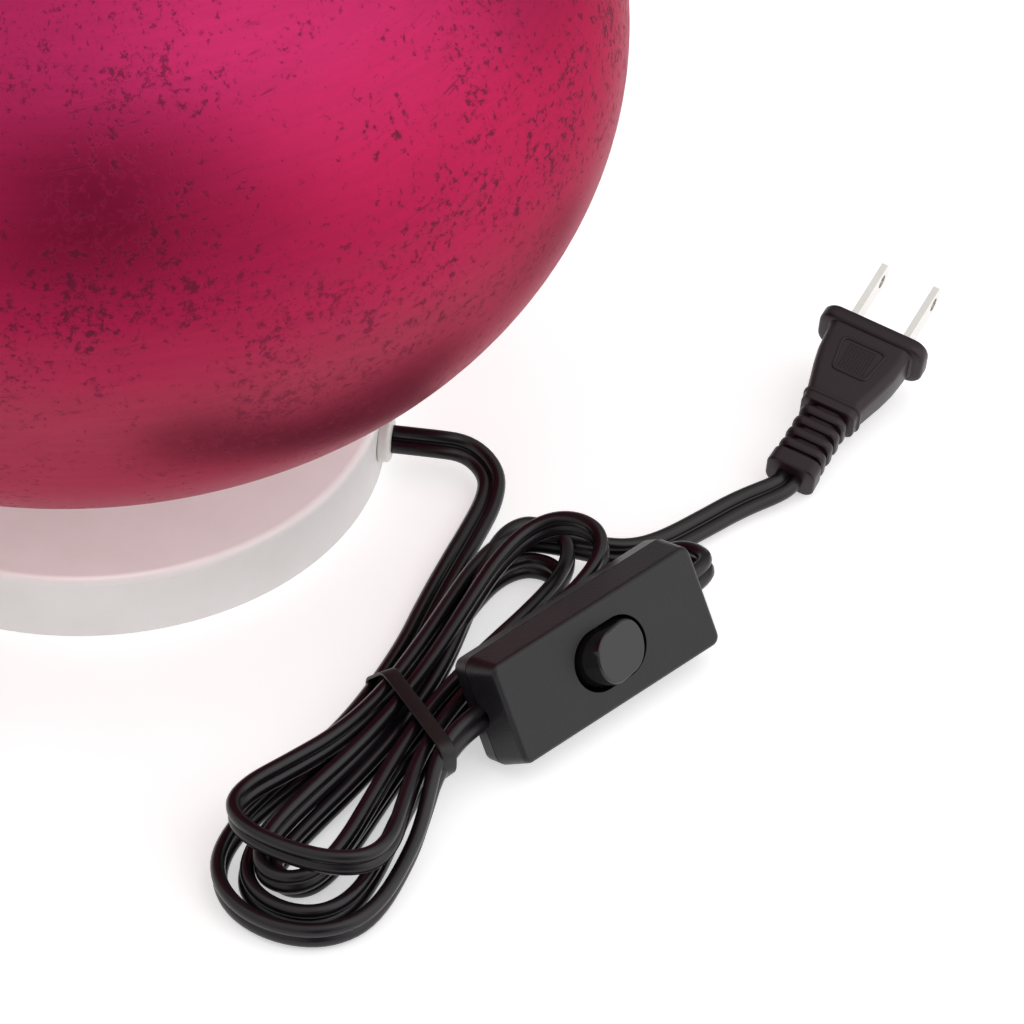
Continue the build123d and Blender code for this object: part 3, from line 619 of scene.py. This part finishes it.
def splinePath(name, points):
    curve = bpy.data.curves.new(name + "Route", "CURVE")
    curve.dimensions = "3D"
    spline = curve.splines.new("NURBS")
    spline.points.add(len(points) - 1)
    for slot, point in zip(spline.points, points):
        slot.co = (*point, 1)
    spline.order_u = 3
    spline.use_endpoint_u = True
    spline.resolution_u = cordShape["curveSteps"]
    holder = bpy.data.objects.new(name + "Route", curve)
    scene.collection.objects.link(holder)
    mesh = bpy.data.meshes.new_from_object(holder)
    path = [vertex.co.copy() for vertex in mesh.vertices]
    bpy.data.objects.remove(holder)
    bpy.data.meshes.remove(mesh)
    return path


def twinSection():
    radius = cordShape["lobeRadius"]
    centre = cordShape["width"] / 2 - radius
    opening = math.pi - math.asin(cordShape["webHalf"] / radius)
    points = []
    for side in (1, -1):
        for step in range(cordShape["lobeSteps"] + 1):
            angle = -opening + 2 * opening * step / cordShape["lobeSteps"]
            points.append((side * (centre + radius * math.cos(angle)), side * radius * math.sin(angle)))
    return points


def sweepFlat(name, path, leans, material):
    # Sweeps the twin section; a lean of 0 stands it on edge, 90 lays it flat
    section = twinSection()
    vertices = []
    count = len(path)
    lengths = [0.0]
    for before, after in zip(path, path[1:]):
        lengths.append(lengths[-1] + (after - before).length)
    for index, point in enumerate(path):
        way = (path[min(index + 1, count - 1)] - path[max(index - 1, 0)]).normalized()
        side = way.cross(Vector((0, 0, 1))).normalized()
        up = side.cross(way).normalized()
        spot = index / (count - 1) * (len(leans) - 1)
        low = min(int(spot), len(leans) - 2)
        lean = math.radians(leans[low] + (leans[low + 1] - leans[low]) * (spot - low))
        wide = up * math.cos(lean) + side * math.sin(lean)
        thin = wide.cross(way)
        vertices += [point + wide * across + thin * deep for across, deep in section]
    around = len(section)
    faces = ringFaces(count, around)
    faces.append(tuple(range(around)))
    faces.append(tuple(reversed(range((count - 1) * around, count * around))))
    piece = newPiece(name, vertices, faces, material)
    layer = piece.data.uv_layers.new(name="alongCord")
    for loop in piece.data.loops:
        ring, step = divmod(loop.vertex_index, around)
        layer.data[loop.index].uv = (lengths[ring], step / around)
    fixNormals(piece)
    sharpen(piece, edgeAngle=50)
    return piece, lengths[-1]


# How the cord is turned about its own run, in degrees, at each point of a route
cordLean = {
    "lead": [-42, -42, -50, -72, -95, -108, -115, -115, -115],
    "wrapStart": -135,
    "wrapStep": -12,
    "wrapEnd": -172,
    "switchIn": [-170, -170, -180, -200, -205],
    "switchOut": [-20, -12, -5, 0, 5, 8],
    "hankSway": 8,
    "hankSwayRate": 5,
    "tail": [-10, -30, -45, -50, -55],
    "boot": [-65, -78, -80],
}
wrapTurns = hankTurns(hank["wrapStart"], hank["wrapEnd"])
leadRoute = [exitPoint(bushing["back"]), exitPoint(bushing["clear"]), *metres(leadPoints)]
leadRoute += [hankPoint(turn) for turn in wrapTurns] + metres(switchInPoints)
wrapLeans = [cordLean["wrapStart"] + cordLean["wrapStep"] * step for step in range(len(wrapTurns))]
leadLeans = cordLean["lead"] + [max(cordLean["wrapEnd"], lean) for lean in wrapLeans] + cordLean["switchIn"]
leadPath = splinePath("lampLead", leadRoute)
lampLead, lampLeadLength = sweepFlat("lampLead", leadPath, leadLeans, finishes["cord"])
print("lead", round(lampLeadLength, 4), "m")


# Plug moulding: rounded sections along its axis, from the face with the blades to the boot

plug = {
    "origin": (173.1 * mm, 19.6 * mm),
    "bearing": 62.2,
    "pitch": 10.0,
    "roll": 9.5,
    "rest": 0.2 * mm,
    "bootEnd": -43.7 * mm,
    "bootSteps": (-3.0 * mm, 0.0, 2.0 * mm),
}
plugSections = [
    # millimetres: distance back from the face, width, height, corner
    (0.0, 24.2, 10.2, 3.2),
    (0.2, 24.9, 10.9, 3.5),
    (0.6, 25.4, 11.4, 3.7),
    (3.0, 25.4, 11.4, 3.7),
    (3.4, 24.9, 10.9, 3.5),
    (3.6, 24.2, 10.3, 3.2),
    (3.7, 20.8, 9.9, 2.6),
    (4.2, 19.8, 9.7, 2.4),
    (7.0, 19.4, 9.6, 2.3),
    (11.0, 18.6, 9.4, 2.3),
    (15.0, 16.9, 9.1, 2.2),
    (18.5, 15.0, 8.8, 2.2),
    (21.6, 13.4, 8.5, 2.2),
    (22.0, 13.2, 8.5, 2.2),
    (22.3, 13.9, 9.1, 2.4),
    (22.9, 13.9, 9.1, 2.4),
    (23.2, 13.1, 8.5, 2.2),
    (25.0, 12.9, 8.4, 2.2),
    (25.2, 12.3, 7.9, 2.0),
    (25.3, 8.4, 6.4, 2.4),
    (39.4, 8.2, 6.2, 2.4),
    (39.5, 10.8, 7.8, 2.2),
    (39.8, 11.4, 8.4, 2.4),
    (43.2, 11.6, 8.6, 2.4),
    (43.6, 11.0, 8.0, 2.2),
    (43.7, 10.0, 7.0, 2.0),
]
plugRib = {"count": 4, "length": 2.2, "gap": 1.15, "first": 25.2, "width": 11.0, "height": 8.2, "corner": 2.4}
ribProfile = [
    # distance along a rib, and how much narrower and lower it is there
    (0.0, 0.9, 0.7),
    (0.3, 0.2, 0.2),
    (0.7, 0.0, 0.0),
    (1.5, 0.0, 0.0),
    (1.9, 0.2, 0.2),
    (2.2, 0.9, 0.7),
]
plugPanel = {
    "from": 6.3,
    "to": 15.7,
    "halfWide": 5.5,
    "halfNarrow": 4.5,
    "corner": 1.5,
    "cornerInset": 0.6,
    "rim": 0.7,
    "rimEdge": 0.05,
    "proud": 0.28,
    "shoulder": 0.6,
    "sunk": 0.4,
    "dotsAlong": 11,
    "dotsAcross": 10,
    "dotRadius": 0.2,
    "dotMargin": 1.5,
}
cornerSteps = 6


def rectangle(width, height):
    return [(x * width / 2, y * height / 2) for x, y in ((1, 1), (-1, 1), (-1, -1), (1, -1))]


def roundCorners(corners, radius, steps=cornerSteps):
    # Four corners, one in each quarter, from the one where both coordinates are positive
    points = []
    for quarter, (x, y) in enumerate(corners):
        middleX = x - math.copysign(radius, x)
        middleY = y - math.copysign(radius, y)
        for step in range(steps + 1):
            angle = math.radians(90 * quarter + 90 * step / steps)
            points.append((middleX + radius * math.cos(angle), middleY + radius * math.sin(angle)))
    return points


def roundedRing(distance, width, height, corner):
    outline = roundCorners(rectangle(width, height), corner)
    return [Vector((-distance, y, z)) * mm for y, z in outline]


def loftRings(name, rings, material):
    around = len(rings[0])
    vertices = [point for ring in rings for point in ring]
    faces = ringFaces(len(rings), around)
    faces.append(tuple(range(around)))
    faces.append(tuple(range((len(rings) - 1) * around, len(rings) * around)))
    piece = newPiece(name, vertices, faces, material)
    fixNormals(piece)
    sharpen(piece, edgeAngle=35)
    return piece


def nodesResult(piece, tree, values):
    # Sets the tree's named inputs, then turns the result into a plain mesh
    modifier = piece.modifiers.new(tree.name, "NODES")
    modifier.node_group = tree
    inputs = [item for item in tree.interface.items_tree if item.in_out == "INPUT"]
    identifiers = {item.name: item.identifier for item in inputs}
    for label, value in values.items():
        modifier[identifiers[label]] = value
    graph = bpy.context.evaluated_depsgraph_get()
    mesh = bpy.data.meshes.new_from_object(piece.evaluated_get(graph))
    piece.modifiers.remove(modifier)
    old = piece.data
    piece.data = mesh
    bpy.data.meshes.remove(old)


geometrySocket = ("Geometry", "NodeSocketGeometry", None)
materialSocket = ("Material", "NodeSocketMaterial", None)


def copyToPoints(tree, start, end, points, shape):
    # Ends a tree: the shape at each point, as real mesh in the given material
    copies = addNode(tree, "GeometryNodeInstanceOnPoints", Points=points, Instance=shape)
    real = addNode(tree, "GeometryNodeRealizeInstances", i0=copies.outputs[0])
    paint = addNode(tree, "GeometryNodeSetMaterial", Geometry=real.outputs[0])
    tree.links.new(start.outputs["Material"], paint.inputs["Material"])
    tree.links.new(paint.outputs[0], end.inputs["Geometry"])


def makeRibTree():
    tree, start, end = newGroup(
        "ribRow",
        "GeometryNodeTree",
        [
            geometrySocket,
            ("Count", "NodeSocketInt", 4),
            ("Start", "NodeSocketVector", None),
            ("Pitch", "NodeSocketVector", None),
            materialSocket,
        ],
        [geometrySocket],
    )
    given = start.outputs
    row = addNode(tree, "GeometryNodeMeshLine", {"mode": "OFFSET"}, Count=given["Count"])
    tree.links.new(given["Start"], row.inputs["Start Location"])
    tree.links.new(given["Pitch"], row.inputs["Offset"])
    copyToPoints(tree, start, end, row.outputs[0], given["Geometry"])
    return tree


def makeStippleTree():
    # Even rows of small domes over the panel
    tree, start, end = newGroup(
        "panelStipple",
        "GeometryNodeTree",
        [
            geometrySocket,
            ("Length", floatSocket, 0.008),
            ("Width", floatSocket, 0.008),
            ("Along", "NodeSocketInt", 10),
            ("Across", "NodeSocketInt", 10),
            ("Dot Radius", floatSocket, 0.0002),
            materialSocket,
        ],
        [geometrySocket],
    )
    given = start.outputs
    grid = tree.nodes.new("GeometryNodeMeshGrid")
    for index, label in enumerate(("Length", "Width", "Along", "Across")):
        tree.links.new(given[label], grid.inputs[index])
    dome = addNode(tree, "GeometryNodeMeshIcoSphere", Subdivisions=2, Radius=given["Dot Radius"])
    copyToPoints(tree, start, end, grid.outputs[0], dome.outputs[0])
    return tree


turned = (
    Matrix.Rotation(math.radians(plug["bearing"]), 4, "Z")
    @ Matrix.Rotation(math.radians(-plug["pitch"]), 4, "Y")
    @ Matrix.Rotation(math.radians(plug["roll"]), 4, "X")
)
rings = [roundedRing(*section) for section in plugSections]
plugLow = min((turned @ point).z for ring in rings for point in ring)
plugPlace = Matrix.Translation((*plug["origin"], plug["rest"] - plugLow)) @ turned
plugMoulding = loftRings("plugMoulding", rings, finishes["plug"])

ribRings = []
for distance, lessWide, lessTall in ribProfile:
    width, height = plugRib["width"] - lessWide, plugRib["height"] - lessTall
    ribRings.append(roundedRing(distance, width, height, plugRib["corner"] - lessTall / 2))
plugRibs = loftRings("plugRibs", ribRings, finishes["plug"])
ribPitch = plugRib["length"] + plugRib["gap"]
nodesResult(
    plugRibs,
    makeRibTree(),
    {
        "Count": plugRib["count"],
        "Start": (-(plugRib["first"] + plugRib["gap"]) * mm, 0.0, 0.0),
        "Pitch": (-ribPitch * mm, 0.0, 0.0),
        "Material": finishes["plug"],
    },
)


def halfHeightAt(distance):
    for before, after in zip(plugSections, plugSections[1:]):
        if before[0] <= distance <= after[0]:
            share = (distance - before[0]) / (after[0] - before[0])
            return (before[2] + (after[2] - before[2]) * share) / 2


panelLength = plugPanel["to"] - plugPanel["from"]
panelMiddle = (plugPanel["from"] + plugPanel["to"]) / 2
panelEnds = [halfHeightAt(plugPanel[end]) for end in ("from", "to")]
panelSlope = math.atan2(panelEnds[0] - panelEnds[1], panelLength)
panelTop = sum(panelEnds) / 2
panelCentre = Matrix.Translation(Vector((-panelMiddle, 0, panelTop)) * mm)
panelPlace = panelCentre @ Matrix.Rotation(-panelSlope, 4, "Y")


def panelLoop(inset, height):
    # A trapezium with round corners, wide towards the blades
    reach = panelLength / 2 - inset
    wide, narrow = plugPanel["halfWide"] - inset, plugPanel["halfNarrow"] - inset
    corners = [(reach, wide), (-reach, narrow), (-reach, -narrow), (reach, -wide)]
    outline = roundCorners(corners, plugPanel["corner"] - inset * plugPanel["cornerInset"])
    return [Vector((x, y, height)) * mm for x, y in outline]


rim, proud, sunk = plugPanel["rim"], plugPanel["proud"], plugPanel["sunk"]
shoulder = proud * plugPanel["shoulder"]
rimRings = [
    panelLoop(0, -sunk),
    panelLoop(plugPanel["rimEdge"], shoulder),
    panelLoop(rim * 0.3, proud),
    panelLoop(rim * 0.7, proud),
    panelLoop(rim * 0.95, shoulder),
    panelLoop(rim, -sunk),
]
rimPoints = [point for ring in rimRings for point in ring]
rimFaces = ringFaces(len(rimRings), len(rimRings[0]), closed=True)
panelRim = newPiece("plugPanelRim", rimPoints, rimFaces, finishes["plug"])
fixNormals(panelRim)
panelDots = newPiece("plugPanelDots", [(0, 0, 0)], [], finishes["plug"])
nodesResult(
    panelDots,
    makeStippleTree(),
    {
        "Length": (panelLength - 2 * plugPanel["dotMargin"]) * mm,
        "Width": 2 * (plugPanel["halfNarrow"] - plugPanel["dotMargin"]) * mm,
        "Along": plugPanel["dotsAlong"],
        "Across": plugPanel["dotsAcross"],
        "Dot Radius": plugPanel["dotRadius"] * mm,
        "Material": finishes["plug"],
    },
)
for piece in (panelRim, panelDots):
    piece.data.transform(panelPlace)
plugPieces = [plugMoulding, plugRibs, panelRim, panelDots]
for piece in plugPieces:
    piece.data.transform(plugPlace)
print("plug of", len(plugPieces), "pieces")


# Mains cord: out of the switch, through the hank and into the plug's boot

hankSpots = hankTurns(hank["startTurn"], hank["endTurn"])
mainRoute = metres(switchOutPoints) + [hankPoint(turn) for turn in hankSpots] + metres(tailPoints)
mainRoute += [plugPlace @ Vector((plug["bootEnd"] + step, 0, 0)) for step in plug["bootSteps"]]
hankLeans = [cordLean["hankSway"] * math.sin(cordLean["hankSwayRate"] * turn) for turn in hankSpots]
mainLeans = cordLean["switchOut"] + hankLeans + cordLean["tail"] + cordLean["boot"]
mainPath = splinePath("mainsCord", mainRoute)
mainsCord, mainsLength = sweepFlat("mainsCord", mainPath, mainLeans, finishes["cord"])
print("mains cord", round(mainsLength, 4), "m")


# Tie: a band drawn round the strands where they cross its slanting plane

tie = {
    "slant": 34.0,
    "towardsNear": 2.0 * mm,
    "width": 3.4 * mm,
    "thickness": 0.8 * mm,
    "edgeRound": 0.3 * mm,
    "edgeSteps": 3,
    "reach": 24 * mm,
    "slack": 0.25 * mm,
    "sideSlack": 1.15,
    "strandSteps": 24,
    "lowestStrand": 1.0 * mm,
    "floorGap": 0.1 * mm,
    "loopPoints": 120,
    "smoothings": 2,
}
slant = math.radians(tie["slant"])
tieAcross = aside * math.cos(slant) - along * math.sin(slant)
tieNormal = aside * math.sin(slant) + along * math.cos(slant)
tieMiddle = Vector(hank["middle"]) - along * tie["towardsNear"]


def tieCrossings(path):
    found = []
    for before, after in zip(path, path[1:]):
        first = (before - tieMiddle).dot(tieNormal)
        second = (after - tieMiddle).dot(tieNormal)
        if first * second <= 0 and first != second:
            spot = before.lerp(after, first / (first - second)) - tieMiddle
            if abs(spot.dot(tieAcross)) < tie["reach"]:
                found.append((spot.dot(tieAcross), spot.z))
    return found


def turnOf(one, two, three):
    return (two[0] - one[0]) * (three[1] - one[1]) - (two[1] - one[1]) * (three[0] - one[0])


def convexHull(points):
    points = sorted(set(points))

    def half(ordered):
        chain = []
        for point in ordered:
            while len(chain) > 1 and turnOf(chain[-2], chain[-1], point) <= 0:
                chain.pop()
            chain.append(point)
        return chain[:-1]

    return half(points) + half(points[::-1])


def evenLoop(points, count):
    closed = points + points[:1]
    spans = [math.dist(one, two) for one, two in zip(closed, closed[1:])]
    total = sum(spans)
    result = []
    for index in range(count):
        target = total * index / count
        for span, one, two in zip(spans, closed, closed[1:]):
            if target <= span:
                share = target / span if span else 0
                result.append((one[0] + (two[0] - one[0]) * share, one[1] + (two[1] - one[1]) * share))
                break
            target -= span
    return result


def neighbours(loop):
    return zip(loop[-1:] + loop[:-1], loop, loop[1:] + loop[:1])


crossings = tieCrossings(leadPath) + tieCrossings(mainPath)
lobeHeight = cordShape["width"] / 2 - cordShape["lobeRadius"]
spread = cordShape["lobeRadius"] + tie["slack"]
strandOutline = []
for across, height in crossings:
    for step in range(tie["strandSteps"]):
        angle = math.radians(360 / tie["strandSteps"] * step)
        lobe = lobeHeight if step < tie["strandSteps"] / 2 else -lobeHeight
        spotAcross = across + spread * math.cos(angle) * tie["sideSlack"]
        spotHeight = max(height + lobe + spread * math.sin(angle), tie["lowestStrand"])
        strandOutline.append((round(spotAcross, 6), round(spotHeight, 6)))
tieLoop = evenLoop(convexHull(strandOutline), tie["loopPoints"])
for _ in range(tie["smoothings"]):
    tieLoop = [
        tuple((before[axis] + 2 * here[axis] + after[axis]) / 4 for axis in (0, 1))
        for before, here, after in neighbours(tieLoop)
    ]
bandSection = roundCorners(rectangle(tie["width"], tie["thickness"]), tie["edgeRound"], tie["edgeSteps"])
tieVertices = []
for before, here, after in neighbours(tieLoop):
    way = Vector((after[0] - before[0], after[1] - before[1])).normalized()
    outward = Vector((way.y, -way.x))
    for wide, thick in bandSection:
        offset = outward * (thick + tie["thickness"] / 2)
        spot = tieMiddle + tieAcross * (here[0] + offset.x) + tieNormal * wide
        spot.z = max(here[1] + offset.y, tie["floorGap"])
        tieVertices.append(spot)
tieFaces = ringFaces(len(tieLoop), len(bandSection), closed=True)
hankTie = newPiece("hankTie", tieVertices, tieFaces, finishes["tie"])
fixNormals(hankTie)
print("tie round", len(crossings), "strands")


# Globe: flank and crown arcs turned about the axis, slightly uneven as blown glass is

globe = {
    "radius": 117.4 * mm,
    "halfHeight": 88.3 * mm,
    "blendAngle": 53.0,
    "wall": 3.5 * mm,
    "neckRadius": 40.0 * mm,
    "foot": 17.4 * mm,
    "lipRise": 0.6 * mm,
    "neckRing": 6.0 * mm,
    "neckLength": 16.2 * mm,
    "neckRound": 4.0 * mm,
    "flankSteps": 40,
    "crownSteps": 30,
    "steps": 256,
    "ripple": 0.22 * mm,
    "rippleFrom": 30.0 * mm,
    "rippleGrowth": 30.0 * mm,
    "poleCalm": 20.0 * mm,
}


def arcPoints(centre, radius, first, last, steps):
    turns = [first + (last - first) * step / steps for step in range(steps + 1)]
    return [(centre[0] + radius * math.cos(turn), centre[1] + radius * math.sin(turn)) for turn in turns]


def globeProfile(inset, mouth):
    # One wall's outline, from the neck's lip to the top
    blend = math.radians(globe["blendAngle"])
    sine, cosine = math.sin(blend), math.cos(blend)
    slope = (1 - sine) / cosine
    flank = (globe["halfHeight"] - globe["radius"] * slope) / (1 - slope)
    crown = (globe["radius"] - flank) / cosine + flank
    drop = crown - globe["halfHeight"]
    neckTop = globe["foot"] + globe["neckLength"]
    centre = neckTop + math.sqrt(crown**2 - globe["neckRadius"] ** 2) - drop
    bend = globe["neckRound"]
    opening = math.acos((mouth + 0.35 * bend) / (crown - inset))
    bowl = arcPoints((0, centre + drop), crown - inset, -opening, -blend, globe["flankSteps"])
    side = arcPoints((globe["radius"] - flank, centre), flank - inset, -blend, blend, globe["flankSteps"])
    top = arcPoints((0, centre - drop), crown - inset, blend, math.pi / 2, globe["crownSteps"])
    neckEnd = bowl[0][1] - 0.9 * bend
    neck = [
        (mouth, globe["foot"] + globe["lipRise"]),
        (mouth, globe["foot"] + globe["neckRing"]),
        (mouth, neckEnd),
        (mouth + 0.08 * bend, neckEnd + 0.5 * bend),
    ]
    return neck + bowl + side[1:] + top[1:]


def ripple(point):
    # Slow waves across each other, in radians a metre
    wave = math.sin(31 * point.x + 17 * point.z) * math.sin(27 * point.y - 23 * point.z + 1.3)
    wave += 0.6 * math.sin(58 * point.x - 41 * point.y + 0.7) * math.sin(66 * point.z + 2.1)
    return globe["ripple"] * wave / 1.6


def makeGlobe():
    outside = globeProfile(0, globe["neckRadius"])
    inside = globeProfile(globe["wall"], globe["neckRadius"] - globe["wall"])
    lip = [(globe["neckRadius"] - share * globe["wall"], globe["foot"]) for share in (0.2, 0.5, 0.8)]
    steps = globe["steps"]
    profile = list(reversed(outside[:-1])) + lip + inside[:-1]
    vertices = []
    for radius, height in profile:
        swell = ease((height - globe["rippleFrom"]) / globe["rippleGrowth"]) * ease(radius / globe["poleCalm"])
        for step in range(steps):
            angle = 2 * math.pi * step / steps
            point = Vector((radius * math.cos(angle), radius * math.sin(angle), height))
            vertices.append(point * (1 + ripple(point) * swell / globe["radius"]))
    faces = ringFaces(len(profile), steps)
    top, under = len(vertices), len(vertices) + 1
    vertices += [Vector((0, 0, outside[-1][1])), Vector((0, 0, inside[-1][1]))]
    last = (len(profile) - 1) * steps
    for step in range(steps):
        after = (step + 1) % steps
        faces.append((top, after, step))
        faces.append((under, last + step, last + after))
    piece = newPiece("globeGlass", vertices, faces, finishes["silvering"])
    fixNormals(piece)
    sharpen(piece, edgeAngle=40)
    return piece


globeGlass = makeGlobe()
print("globe", len(globeGlass.data.polygons), "faces")


# Bodies and replaced nodes, for the cords and the other made pieces

leadNodes = ["cord_lead", "cord_wrap", "cord_switch_in"]
mainNodes = ["cord_switch_out", "cord_hank", "cord_tail"]
for piece, body, slotName, stoodFor in (
    (lampLead, "base", "cord_vinyl", leadNodes),
    (mainsCord, "base", "cord_vinyl", mainNodes),
    (plugMoulding, "base", "plug_vinyl", ["plug_body"]),
    (plugRibs, "base", "plug_vinyl", []),
    (panelRim, "base", "plug_vinyl", []),
    (panelDots, "base", "plug_vinyl", []),
    (hankTie, "base", "tie_vinyl", ["hank_tie"]),
    (globeGlass, "globe", "globe_glass", ["glass_globe"]),
):
    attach(piece, body)
    if stoodFor:
        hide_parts(*stoodFor)

switchParts = ["switch_top_cover", "switch_bottom_cover", "switch_screws", "rocker", "rocker_pin"]
switchParts += ["bridge_contact", "switch_terminals"]
print("pieces riding on their bodies")


# Floor, light and camera

studio = {
    "floorSize": 8.0,
    "floorDrop": 0.3 * mm,
    "floorGlow": 0.52,
    "floorDim": 0.06,
    "glowFade": (-0.50, -0.10),
    "glowEnd": (0.20, 0.40),
    "tentTint": (1.0, 0.99, 0.985, 1),
    "horizon": 0.62,
    "zenith": 1.00,
    "zenithFrom": 0.95,
    "gapBearing": 7.0,
    "gapDim": 0.03,
    "gapSide": (0.13, 0.34),
    "gapFront": (0.60, 0.80),
    "backEdge": (0.45, 0.85),
    "backDim": 0.30,
    "boxDistance": 1.7,
    "boxTarget": (0.05, -0.03, 0.08),
}


def makePaleFloor():
    # A light table: matt white with a glow of its own that fades in front and behind
    material = makePlastic("paleFloor", (0.80, 0.80, 0.80), (0.82, 0.82, 0.82), 0.85, 0.05, 40.0, 0.0, 0.1)
    tree = material.node_tree
    shader = tree.nodes["Principled BSDF"]
    north = splitAxes(tree, objectPlace(tree))[1]
    near = mapRange(tree, north, *studio["glowFade"], studio["floorDim"], studio["floorGlow"])
    far = mapRange(tree, north, *studio["glowEnd"], 1.0, studio["floorDim"])
    tree.links.new(mathNode(tree, "MULTIPLY", near, far), shader.inputs["Emission Strength"])
    setShader(shader, {"Emission Color": (1, 1, 1, 1)})
    return material


floor = newPiece(
    "paleFloor",
    [(x, y, -studio["floorDrop"]) for x, y in rectangle(studio["floorSize"], studio["floorSize"])],
    [(0, 1, 2, 3)],
    makePaleFloor(),
)


def makeWorld():
    # A white tent, brighter overhead, dim behind, with a dark slit in front where the camera looks in
    world = bpy.data.worlds.new("whiteTent")
    scene.world = world
    world.use_nodes = True
    tree = world.node_tree
    backdrop = tree.nodes["Background"]
    way = tree.nodes.new("ShaderNodeTexCoord").outputs["Generated"]
    split = splitAxes(tree, way)
    rise = mapRange(tree, split[2], 0.0, studio["zenithFrom"], studio["horizon"], studio["zenith"])
    turn = math.radians(studio["gapBearing"])
    reach = []
    for direction in ((math.cos(turn), math.sin(turn), 0), (math.sin(turn), -math.cos(turn), 0)):
        dot = addNode(tree, "ShaderNodeVectorMath", {"operation": "DOT_PRODUCT"})
        tree.links.new(way, dot.inputs[0])
        dot.inputs[1].default_value = direction
        reach.append(dot.outputs["Value"])
    side = mapRange(tree, mathNode(tree, "ABSOLUTE", reach[0]), *studio["gapSide"], 1.0, 0.0)
    slit = mathNode(tree, "MULTIPLY", side, mapRange(tree, reach[1], *studio["gapFront"]))
    dim = mapRange(tree, slit, 0.0, 1.0, 1.0, studio["gapDim"])
    back = mapRange(tree, split[1], *studio["backEdge"], 1.0, studio["backDim"])
    shade = mathNode(tree, "MULTIPLY", dim, back)
    tree.links.new(mathNode(tree, "MULTIPLY", rise, shade), backdrop.inputs["Strength"])
    backdrop.inputs["Color"].default_value = studio["tentTint"]


def addSoftbox(name, azimuth, elevation, size, radiance, tint=(1, 1, 1), only=None):
    # Stands on a ring round the lamp and faces it; azimuth 0 is in front, positive to the right
    turn, tilt = math.radians(azimuth), math.radians(elevation)
    way = Vector((math.sin(turn) * math.cos(tilt), -math.cos(turn) * math.cos(tilt), math.sin(tilt)))
    light = bpy.data.lights.new(name, "AREA")
    light.shape = "RECTANGLE"
    light.size, light.size_y = size
    light.energy = math.pi * size[0] * size[1] * radiance
    light.color = tint
    lamp = bpy.data.objects.new(name, light)
    lamp.location = Vector(studio["boxTarget"]) + way * studio["boxDistance"]
    lamp.rotation_euler = (-way).to_track_quat("-Z", "Y").to_euler()
    scene.collection.objects.link(lamp)
    if only:
        # Lights one piece alone, and no other piece shades it
        lit = bpy.data.collections.new(name + "Lit")
        lit.objects.link(only)
        lamp.light_linking.receiver_collection = lit
        lamp.light_linking.blocker_collection = lit


makeWorld()
addSoftbox("wallRight", 74, 22, size=(1.8, 1.5), radiance=0.85)
addSoftbox("keyRight", 62, 60, size=(1.1, 0.8), radiance=0.9)
ledgeTint = (1.0, 0.84, 0.855)
addSoftbox("ledgeFill", 0, 80, size=(0.6, 0.6), radiance=14.5, tint=ledgeTint, only=nodes["base_shell"])

camera = {
    "position": (92.7 * mm, -1326.7 * mm, 1154.2 * mm),
    "elevation": 41.55,
    "lens": 281.25,
    "sensor": 36.0,
    "clipEnd": 20.0,
}
eye = bpy.data.cameras.new("photographView")
eye.lens = camera["lens"]
eye.sensor_width = camera["sensor"]
eye.clip_end = camera["clipEnd"]
viewpoint = bpy.data.objects.new("photographView", eye)
viewpoint.location = camera["position"]
viewpoint.rotation_euler = (math.radians(90 - camera["elevation"]), 0, 0)
scene.collection.objects.link(viewpoint)
scene.camera = viewpoint
scene.view_settings.view_transform = "Standard"
print("floor, light and camera set")
